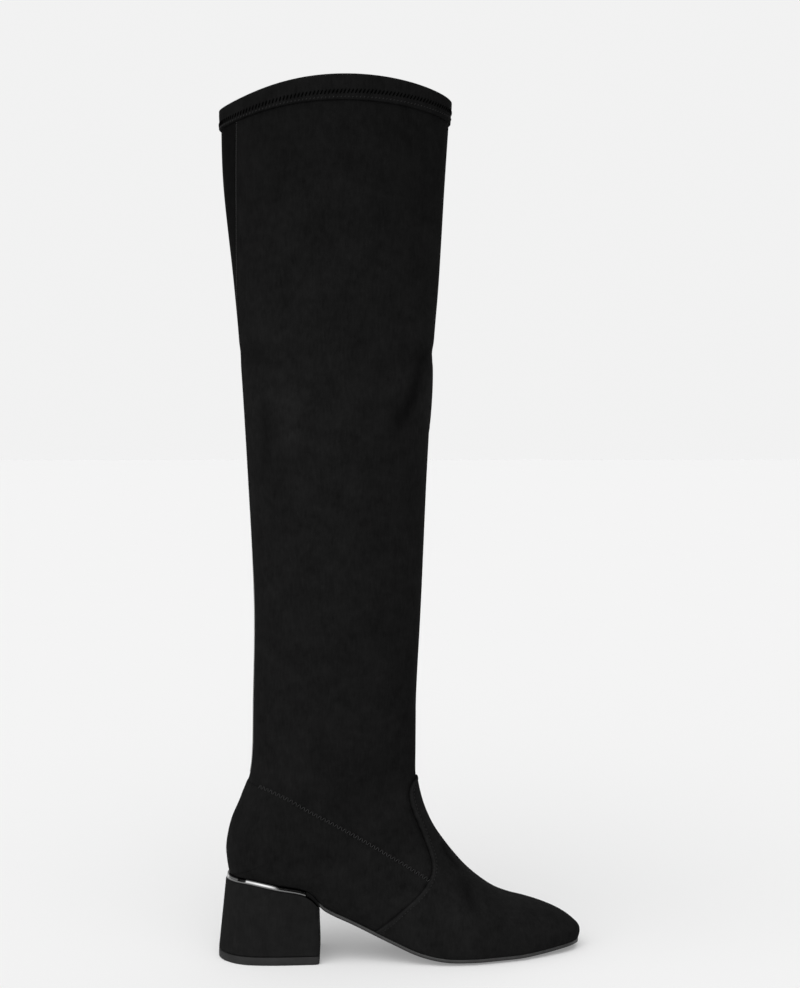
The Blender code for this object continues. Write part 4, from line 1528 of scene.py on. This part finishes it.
@dataclass
class Footing:
    """Insole, outsole, metal strip, covered heel and top lift.

    Sizes are in millimetres. strip_face holds share of the height, distance outwards and tone, a painted
    shade that dims the steel in bands.
    Levels of the heel and the lift hold share of the height and size of the loop there.
    """

    form: BootForm
    gap: float = 0.3
    inset: float = 2.4
    insole_thickness: float = 2.4
    insole_round: float = 0.9
    insole_back_x: float = -26.0
    insole_front_x: float = 224.0
    insole_sections: int = 110
    sole_edge: float = 2.7
    sole_round: float = 0.55
    sole_round_share: tuple[float, ...] = (1.0, 0.3, 0.0, 0.0, 0.35, 1.2)
    sole_round_top: tuple[float, ...] = (0.0, 0.0, 0.16, 0.55)
    sole_round_low: tuple[float, ...] = (0.6, 0.2, 0.0)
    sole_slope_steps: int = 6
    sole_margin: float = 1.9
    sole_back_x: float = -26.8
    toe_x: float = 212.0
    sole_front_x: float = 225.7
    sole_sections: tuple[int, int, int, int] = (26, 6, 110, 22)
    tread_share: float = 0.62
    # painted shade low on the sole's edge, painted highlight along its top
    edge_shade_and_highlight: tuple[float, ...] = (0.25, 0.6, 1.8)
    # darker towards the toe
    toe_fade_x: tuple[float, ...] = (190.0, 216.0)
    toe_fade: tuple[float, ...] = (1.0, 0.5)
    covered_tone: float = 0.6
    lift_thickness: float = 6.0
    lift_back_x: float = -36.7
    lift_front_x: float = 35.6
    lift_half_width: float = 29.5
    heel_back_x: float = -31.5
    heel_front_x: float = 34.6
    heel_margin: float = 3.5
    corner: float = 2.6
    corner_samples: int = 7
    corner_back: int = 6
    corner_room: float = 1.05
    front_samples: int = 9
    crisp_deg: float = 40.0
    cover_foot: tuple[tuple[float, float], ...] = ((0.0, 0.97), (0.004, 0.985), (0.014, 1.0))
    cover_sides: tuple[float, float, int] = (0.05, 0.95, 10)
    cover_rim: tuple[tuple[float, float], ...] = ((0.986, 1.0), (0.996, 0.985), (1.0, 0.97))
    lift_levels: tuple[tuple[float, float], ...] = (
        (0.0, 0.972), (0.03, 0.985), (0.12, 1.0), (0.5, 1.0), (0.9, 1.0), (0.97, 0.99), (1.0, 0.975),
    )
    strip_margin: float = 3.0
    strip_width: float = 2.2
    strip_height: float = 3.3
    strip_front_x: float = 26.0
    # painted shade on the strip's inner face
    strip_back_painted_shade: float = 0.2
    # tone: painted shade under the upper's edge at the top, and painted shade dimming the mirrored floor low
    # on the face
    strip_face: tuple[tuple[float, float, float], ...] = (
        (0.0, -0.08, 0.05), (0.06, 0.0, 0.05), (0.15, 0.0, 0.08), (0.20, 0.0, 0.4), (0.33, -0.01, 0.4),
        (0.40, -0.05, 0.4), (0.48, -0.14, 0.9), (0.62, -0.30, 1.0), (0.76, -0.46, 1.0), (0.82, -0.53, 0.1),
        (1.0, -0.75, 0.1),
    )
    crown_x: tuple[float, ...] = (36.0, 70.0, 118.0, 186.0, 222.0)
    crown: tuple[float, ...] = (0.0, 0.8, 2.0, 2.0, 0.8)

    def heel_top(self, x: Array) -> Array:
        """Height of the heel's top, which follows the shell's lower edge below the strip."""
        return self.form.base_height(x) - self.strip_height - 2.0 * self.gap

    def edge_lines(self, rows: Array, margin: Array | float) -> tuple[Array, Array]:
        """Outer and inner edge of a layer at a distance outside the upper.

        Args:
            rows: Sections.
            margin: Distance outwards.

        Returns:
            Points of the outer and of the inner edge.
        """
        outer = self.form.base_point(rows, np.full(rows.shape, -1.0), margin)[:3]
        inner = self.form.base_point(rows, np.full(rows.shape, 1.0), margin)[:3]
        return np.stack(outer, axis=1), np.stack(inner, axis=1)

    def layer(
        self, name: str, rows: Array, margin: Array | float, profile: Callable, flip: bool = False
    ) -> MeshPiece:
        """A flat layer lofted along the foot.

        Args:
            name: Piece name.
            rows: Sections.
            margin: Distance of its edge outside the upper.
            profile: Gives share across, height and tone of each point of a section.
            flip: Whether faces turn the other way.

        Returns:
            The unfinished piece.
        """
        loops, tones = [], []
        for index, (outer, inner) in enumerate(zip(*self.edge_lines(rows, margin))):
            share, height, tone = profile(index, 0.5 * (outer[0] + inner[0]), inner[1] - outer[1])
            loop = outer + (inner - outer) * share[:, None]
            loop[:, 2] += height
            loops.append(loop)
            tones.append(tone)
        piece = MeshPiece(name)
        piece.loft(np.array(loops), np.array(tones), flip)
        return piece

    def insole(self, material: Material) -> None:
        """The insole inside the wall.

        Args:
            material: Finish.
        """
        ends = (self.form.row_at_x(self.insole_back_x), self.form.row_at_x(self.insole_front_x))
        low, top, edge = self.gap, self.gap + self.insole_thickness, self.insole_round

        def profile(index: int, at: float, width: float) -> tuple[Array, Array, Array]:
            """Section of the insole with rounded upper edges.

            Args:
                index: Number of the section.
                at: Its place along the foot.
                width: Its full width.

            Returns:
                Share across, height and tone of its points.
            """
            soft = min(edge / max(width, 2.0), 0.3)
            rise = [0.0, 0.0, 0.3 * soft, soft]
            share = np.array([*rise, 0.5, *(1.0 - part for part in reversed(rise)), 0.5])
            side = [low, top - edge, top - 0.3, top]
            height = np.array([*side, top + 0.3, *reversed(side), low])
            return share, height, np.ones(len(share))

        rows = np.linspace(*ends, self.insole_sections)
        piece = self.layer("insole_sock", rows, -self.inset, profile)
        fit_piece(piece.build([material]), Slot.INSOLE, "insole")

    def outsole(self, material: Material, cover: Material) -> None:
        """The sole: thin over the heel and covered there, free over arch, tread and toe.

        Args:
            material: Finish of the free sole.
            cover: Finish over the heel.
        """
        stretches = (
            (self.sole_back_x, self.strip_front_x), (self.strip_front_x + self.gap, self.heel_front_x),
            (self.lift_front_x + self.gap, self.toe_x), (self.toe_x + 1.0, self.sole_front_x),
        )
        x = np.concatenate([np.linspace(*ends, count) for ends, count in zip(stretches, self.sole_sections)])
        rows = np.array([self.form.row_at_x(value) for value in x])
        beside_strip = self.strip_margin - self.strip_width - self.gap
        margin = np.where(x <= self.strip_front_x, beside_strip, self.sole_margin)

        def profile(index: int, at: float, width: float) -> tuple[Array, Array, Array]:
            """Section of the sole: flat top, rounded edge, crowned tread.

            Args:
                index: Number of the section.
                at: Its place along the foot.
                width: Its full width.

            Returns:
                Share across, height and tone of its points.
            """
            top = -self.gap
            base = float(self.form.base_height(at))
            soft = min(self.sole_round / max(width, 2.0), 0.2)
            on_heel = x[index] <= self.heel_front_x
            if on_heel:
                low = tread = float(self.heel_top(at)) + self.gap - base
            else:
                low = top - self.sole_edge
                tread = max(low - float(np.interp(at, self.crown_x, self.crown)), -base)
            edge = soft * np.array(self.sole_round_share)
            ease = 0.5 - 0.5 * np.cos(np.linspace(0.0, np.pi, self.sole_slope_steps)[1:])
            slope = np.linspace(edge[-1], 0.5 - 0.5 * self.tread_share, self.sole_slope_steps)[1:]
            left = np.concatenate([[0.5], edge, slope])
            from_top, from_low = top - np.array(self.sole_round_top), low + np.array(self.sole_round_low)
            fall = np.concatenate([from_top, from_low, low + (tread - low) * ease])
            share = np.concatenate([left, [0.5], 1.0 - left[:0:-1]])
            height = np.concatenate([fall, [tread], fall[:0:-1]])
            if on_heel:
                return share, height, np.full(len(share), self.covered_tone)
            # Painted shade low on the edge and a painted highlight along its top, then darker towards the
            # toe.
            tone = np.interp(height, [low, low + 0.4 * self.sole_edge, top], self.edge_shade_and_highlight)
            return share, height, tone * np.interp(at, self.toe_fade_x, self.toe_fade)

        piece = self.layer("outsole_body", rows, margin, profile, flip=True)
        covered = int(np.sum(x <= self.heel_front_x)) * (len(piece.faces[0]) // (len(x) - 1))
        piece.finish_numbers[0][:covered] = 1
        fit_piece(piece.build([material, cover], self.crisp_deg), Slot.SOLE, "outsole")

    def seat_loop(self, to_x: float, margin: float, count: int = 60) -> Array:
        """Points round the heel seat, from its outer front round the back to its inner front.

        Args:
            to_x: Where both ends stop along the foot.
            margin: Distance outside the upper.
            count: Points on each side.

        Returns:
            Points in millimetres.
        """
        last = self.form.row_at_x(to_x)
        rows = self.form.seat_row + (last - self.form.seat_row) * np.linspace(1.0, 0.0, count) ** 1.5
        outer, inner = self.edge_lines(rows, margin)
        return np.vstack([outer[:-1], inner[::-1]])

    def strip(self, material: Material) -> None:
        """The metal strip between heel and upper, with a softly rounded face.

        Args:
            material: Finish.
        """
        front = self.strip_front_x - self.gap
        outside = self.seat_loop(front, self.strip_margin)
        inside = self.seat_loop(front, self.strip_margin - self.strip_width)
        out = unit3((outside - inside) * [1.0, 1.0, 0.0])
        # The tone is painted shade that dims the steel's reflection in bands; the inner face is painted dark.
        lines = [(outside, *line) for line in self.strip_face]
        lines += [(inside, share, 0.0, self.strip_back_painted_shade) for share in (1.0, 0.0)]
        piece = MeshPiece("heel_strip_bar")
        rings = []
        for side, share, bulge, tone in lines:
            low = self.heel_top(side[:, 0]) + self.gap
            loop = side + out * bulge
            loop[:, 2] = low + (side[:, 2] - self.gap - low) * share
            rings.append(piece.add_points(loop, tone))
        numbers = np.array(rings)
        piece.add_grid(np.vstack([numbers, numbers[:1]]))
        for column, flip in ((0, True), (-1, False)):
            ring = numbers[:, column]
            fan = np.stack([np.full(len(ring) - 2, ring[0]), ring[1:-1], ring[2:]], axis=1)
            piece.add_faces(fan[:, ::-1] if flip else fan)
        fit_piece(piece.build([material], self.crisp_deg), Slot.STRIP, "heel_strip")

    def rounded_front(self, loop: Array) -> Array:
        """A loop with its two front corners rounded.

        Args:
            loop: Points from one front corner round the back to the other.

        Returns:
            Points of the closed loop.
        """
        rounded = []
        t = np.linspace(0.0, 1.0, self.corner_samples)[:, None]
        for line in (loop, loop[::-1]):
            corner = line[0]
            side = corner - unit3(corner - line[self.corner_back]) * self.corner
            front = corner - np.array([0.0, np.sign(corner[1]) * self.corner, 0.0])
            rounded.append((1 - t) ** 2 * front + 2 * t * (1 - t) * corner + t**2 * side)
        middle = loop[loop[:, 0] < loop[0, 0] - self.corner * self.corner_room]
        front_run = np.linspace(rounded[1][0], rounded[0][0], self.front_samples)[1:-1]
        return np.vstack([rounded[0], middle, rounded[1][::-1], front_run])

    def heel(self, cover: Material, rubber: Material) -> None:
        """The covered block and the rubber lift under it.

        Args:
            cover: Finish of the block.
            rubber: Finish of the lift.
        """
        top = self.seat_loop(self.heel_front_x, self.heel_margin)
        share = (top[:, 0] - self.heel_back_x) / (self.heel_front_x - self.heel_back_x)
        low = top.copy()
        low[:, 0] = self.lift_back_x + share * (self.lift_front_x - self.lift_back_x)
        low[:, 1] = top[:, 1] * self.lift_half_width / np.abs(top[:, 1]).max()
        top, low = self.rounded_front(top), self.rounded_front(low)
        count = min(len(top), len(low))
        top, low = self.resample(top, count), self.resample(low, count)
        sides = [(share, 1.0) for share in np.linspace(*self.cover_sides)]
        cover_levels = [*self.cover_foot, *sides, *self.cover_rim]
        from_z = self.lift_thickness + self.gap
        self.block("heel_cover", low, top, cover_levels, from_z, cover, Slot.HEEL, "heel_block")
        self.block("heel_lift", low, None, self.lift_levels, 0.0, rubber, Slot.LIFT, "top_lift")

    def resample(self, loop: Array, count: int) -> Array:
        """A closed loop at evenly spaced points.

        Args:
            loop: Points of the loop.
            count: Number of points.

        Returns:
            The new points.
        """
        closed = np.vstack([loop, loop[:1]])
        length = run_length(closed[:, :2])
        return at_lengths(np.linspace(0.0, length[-1], count, endpoint=False), length, closed)

    def block(
        self, name: str, low: Array, top: Array | None, levels: Sequence[tuple[float, float]],
        from_z: float, material: Material, slot: Slot, node: str,
    ) -> None:
        """A block with rounded rims between a lower and an upper loop.

        Args:
            name: Piece name.
            low: Lower loop.
            top: Upper loop with its own heights, or None for an upright block of the lift's thickness.
            levels: Share of the height and size of the loop there.
            from_z: Height of the lower face.
            material: Finish.
            slot: Slot of the record.
            node: Node that it stands for.
        """
        loops = []
        for share, size in levels:
            if top is None:
                loop = low.copy()
                loop[:, 2] = from_z + self.lift_thickness * share
            else:
                loop = low + (top - low) * share
                loop[:, 2] = from_z + (self.heel_top(top[:, 0]) - from_z) * share
            middle = loop.mean(0)
            loop[:, :2] = middle[:2] + (loop[:, :2] - middle[:2]) * size
            loops.append(loop)
        piece = MeshPiece(name)
        piece.loft(np.array(loops))
        fit_piece(piece.build([material], self.crisp_deg), slot, node)

    def build(self) -> None:
        """Build and dress everything under the foot."""
        self.insole(LiningFinish("insole_cloth", 0.012, 0.026, 0.0008).build())
        heel_suede = SuedeFinish("heel_suede", 0.0071, 0.0122).build()
        self.outsole(RubberFinish("sole_rubber", 0.021, 0.033, 0.45, 0.35).build(), heel_suede)
        self.strip(SteelFinish("polished_steel").build())
        self.heel(heel_suede, RubberFinish("lift_rubber", 0.0142, 0.0225, 0.7, 0.2).build())


@dataclass(frozen=True)
class SkyPatch:
    """A round soft patch of the studio's sky: its place, full radius and outer radius in degrees."""

    azimuth: float
    elevation: float
    full: float
    outer: float
    strength: float

    def towards(self) -> tuple[float, float, float]:
        """The direction of its middle."""
        turn, rise = math.radians(self.azimuth), math.radians(self.elevation)
        return (math.sin(turn) * math.cos(rise), -math.cos(turn) * math.cos(rise), math.sin(rise))

    def level(self, sky: Nodes, direction: Socket) -> Socket:
        """Its strength in a direction of the sky.

        Args:
            sky: Tree of the sky.
            direction: Direction looked at.

        Returns:
            The strength there.
        """
        ends = {0: direction, 1: self.towards()}
        near = sky.node("ShaderNodeVectorMath", {"operation": "DOT_PRODUCT"}, ends).outputs["Value"]
        start, end = math.cos(math.radians(self.outer)), math.cos(math.radians(self.full))
        limits = {"Value": near, "From Min": start, "From Max": end}
        mask = sky.node("ShaderNodeMapRange", {"interpolation_type": "SMOOTHSTEP"}, limits)
        return sky.math("MULTIPLY", mask.outputs[0], self.strength)


@dataclass
class Studio:
    """Pale floor, soft light from all round, and the camera."""

    backdrop: float = 0.885
    floor_level: float = 0.647
    floor_glow: float = 0.22
    fill: float = 0.25
    lamps: tuple[SkyPatch, ...] = (
        SkyPatch(-38.0, 28.0, 22.0, 60.0, 1.3), SkyPatch(-5.0, 58.0, 15.0, 42.0, 1.5),
        SkyPatch(0.0, 90.0, 15.0, 60.0, 0.3), SkyPatch(-180.0, 10.0, 30.0, 60.0, 0.15),
    )
    flags: tuple[SkyPatch, ...] = (
        SkyPatch(31.0, 22.0, 26.0, 30.0, 0.99), SkyPatch(-78.0, 18.0, 15.0, 20.0, 0.98),
    )
    floor_half: float = 40.0
    camera_place: tuple[float, float, float] = (0.03884, -1.25392, 0.37301)
    yaw: float = 0.04458
    tilt: float = 0.02883
    focal_px: float = 1722.84
    frame_px: float = 988.0
    sensor: float = 36.0

    def floor(self) -> None:
        """The floor."""
        h = self.floor_half
        mesh = bpy.data.meshes.new("floor")
        mesh.from_pydata([(-h, -h, 0.0), (h, -h, 0.0), (h, h, 0.0), (-h, h, 0.0)], [], [(0, 1, 2, 3)])
        mesh.materials.append(FloorFinish("pale_floor", self.floor_level, self.floor_glow).build())
        floor = bpy.data.objects.new("floor", mesh)
        bpy.context.scene.collection.objects.link(floor)

    def light(self) -> None:
        """A studio sky: soft lamps on an even fill, and dark flags that the metal strip mirrors."""
        world = bpy.data.worlds.new("studio")
        bpy.context.scene.world = world
        world.use_nodes = True
        sky = Nodes(world.node_tree)
        ground = sky.tree.nodes["Background"].inputs
        direction = sky.node("ShaderNodeTexCoord").outputs["Generated"]
        level: object = self.fill
        for lamp in self.lamps:
            level = sky.math("ADD", level, lamp.level(sky, direction))
        flagged = level
        for flag in self.flags:
            left = sky.math("SUBTRACT", 1.0, flag.level(sky, direction))
            flagged = sky.math("MULTIPLY", flagged, left)
        ray = sky.node("ShaderNodeLightPath").outputs
        mirrored = sky.node("ShaderNodeMix", None, {0: ray["Is Glossy Ray"], 2: level, 3: flagged}).outputs[0]
        shown = sky.node("ShaderNodeMix", None, {0: ray["Is Camera Ray"], 2: mirrored, 3: self.backdrop})
        sky.feed(ground["Color"], grey(1.0))
        sky.feed(ground["Strength"], shown.outputs[0])

    def camera(self) -> None:
        """The camera at the photograph's place."""
        data = bpy.data.cameras.new("camera")
        data.sensor_width = self.sensor
        data.lens = self.focal_px * self.sensor / self.frame_px
        camera = bpy.data.objects.new("camera", data)
        level = math.cos(self.tilt)
        ahead = Vector((math.sin(self.yaw) * level, math.cos(self.yaw) * level, -math.sin(self.tilt)))
        camera.location = self.camera_place
        camera.rotation_mode = "QUATERNION"
        camera.rotation_quaternion = ahead.to_track_quat("-Z", "Y")
        bpy.context.scene.collection.objects.link(camera)
        bpy.context.scene.camera = camera

    def build(self) -> None:
        """Build the studio."""
        bpy.context.scene.view_settings.view_transform = "Standard"
        self.floor()
        self.light()
        self.camera()


def main() -> None:
    """Build the boot and its studio."""
    logging.basicConfig(level=logging.INFO, format="%(message)s")
    form = BootForm()
    Upper(form).build()
    Footing(form).build()
    Studio().build()


if __name__ == "__main__":
    main()
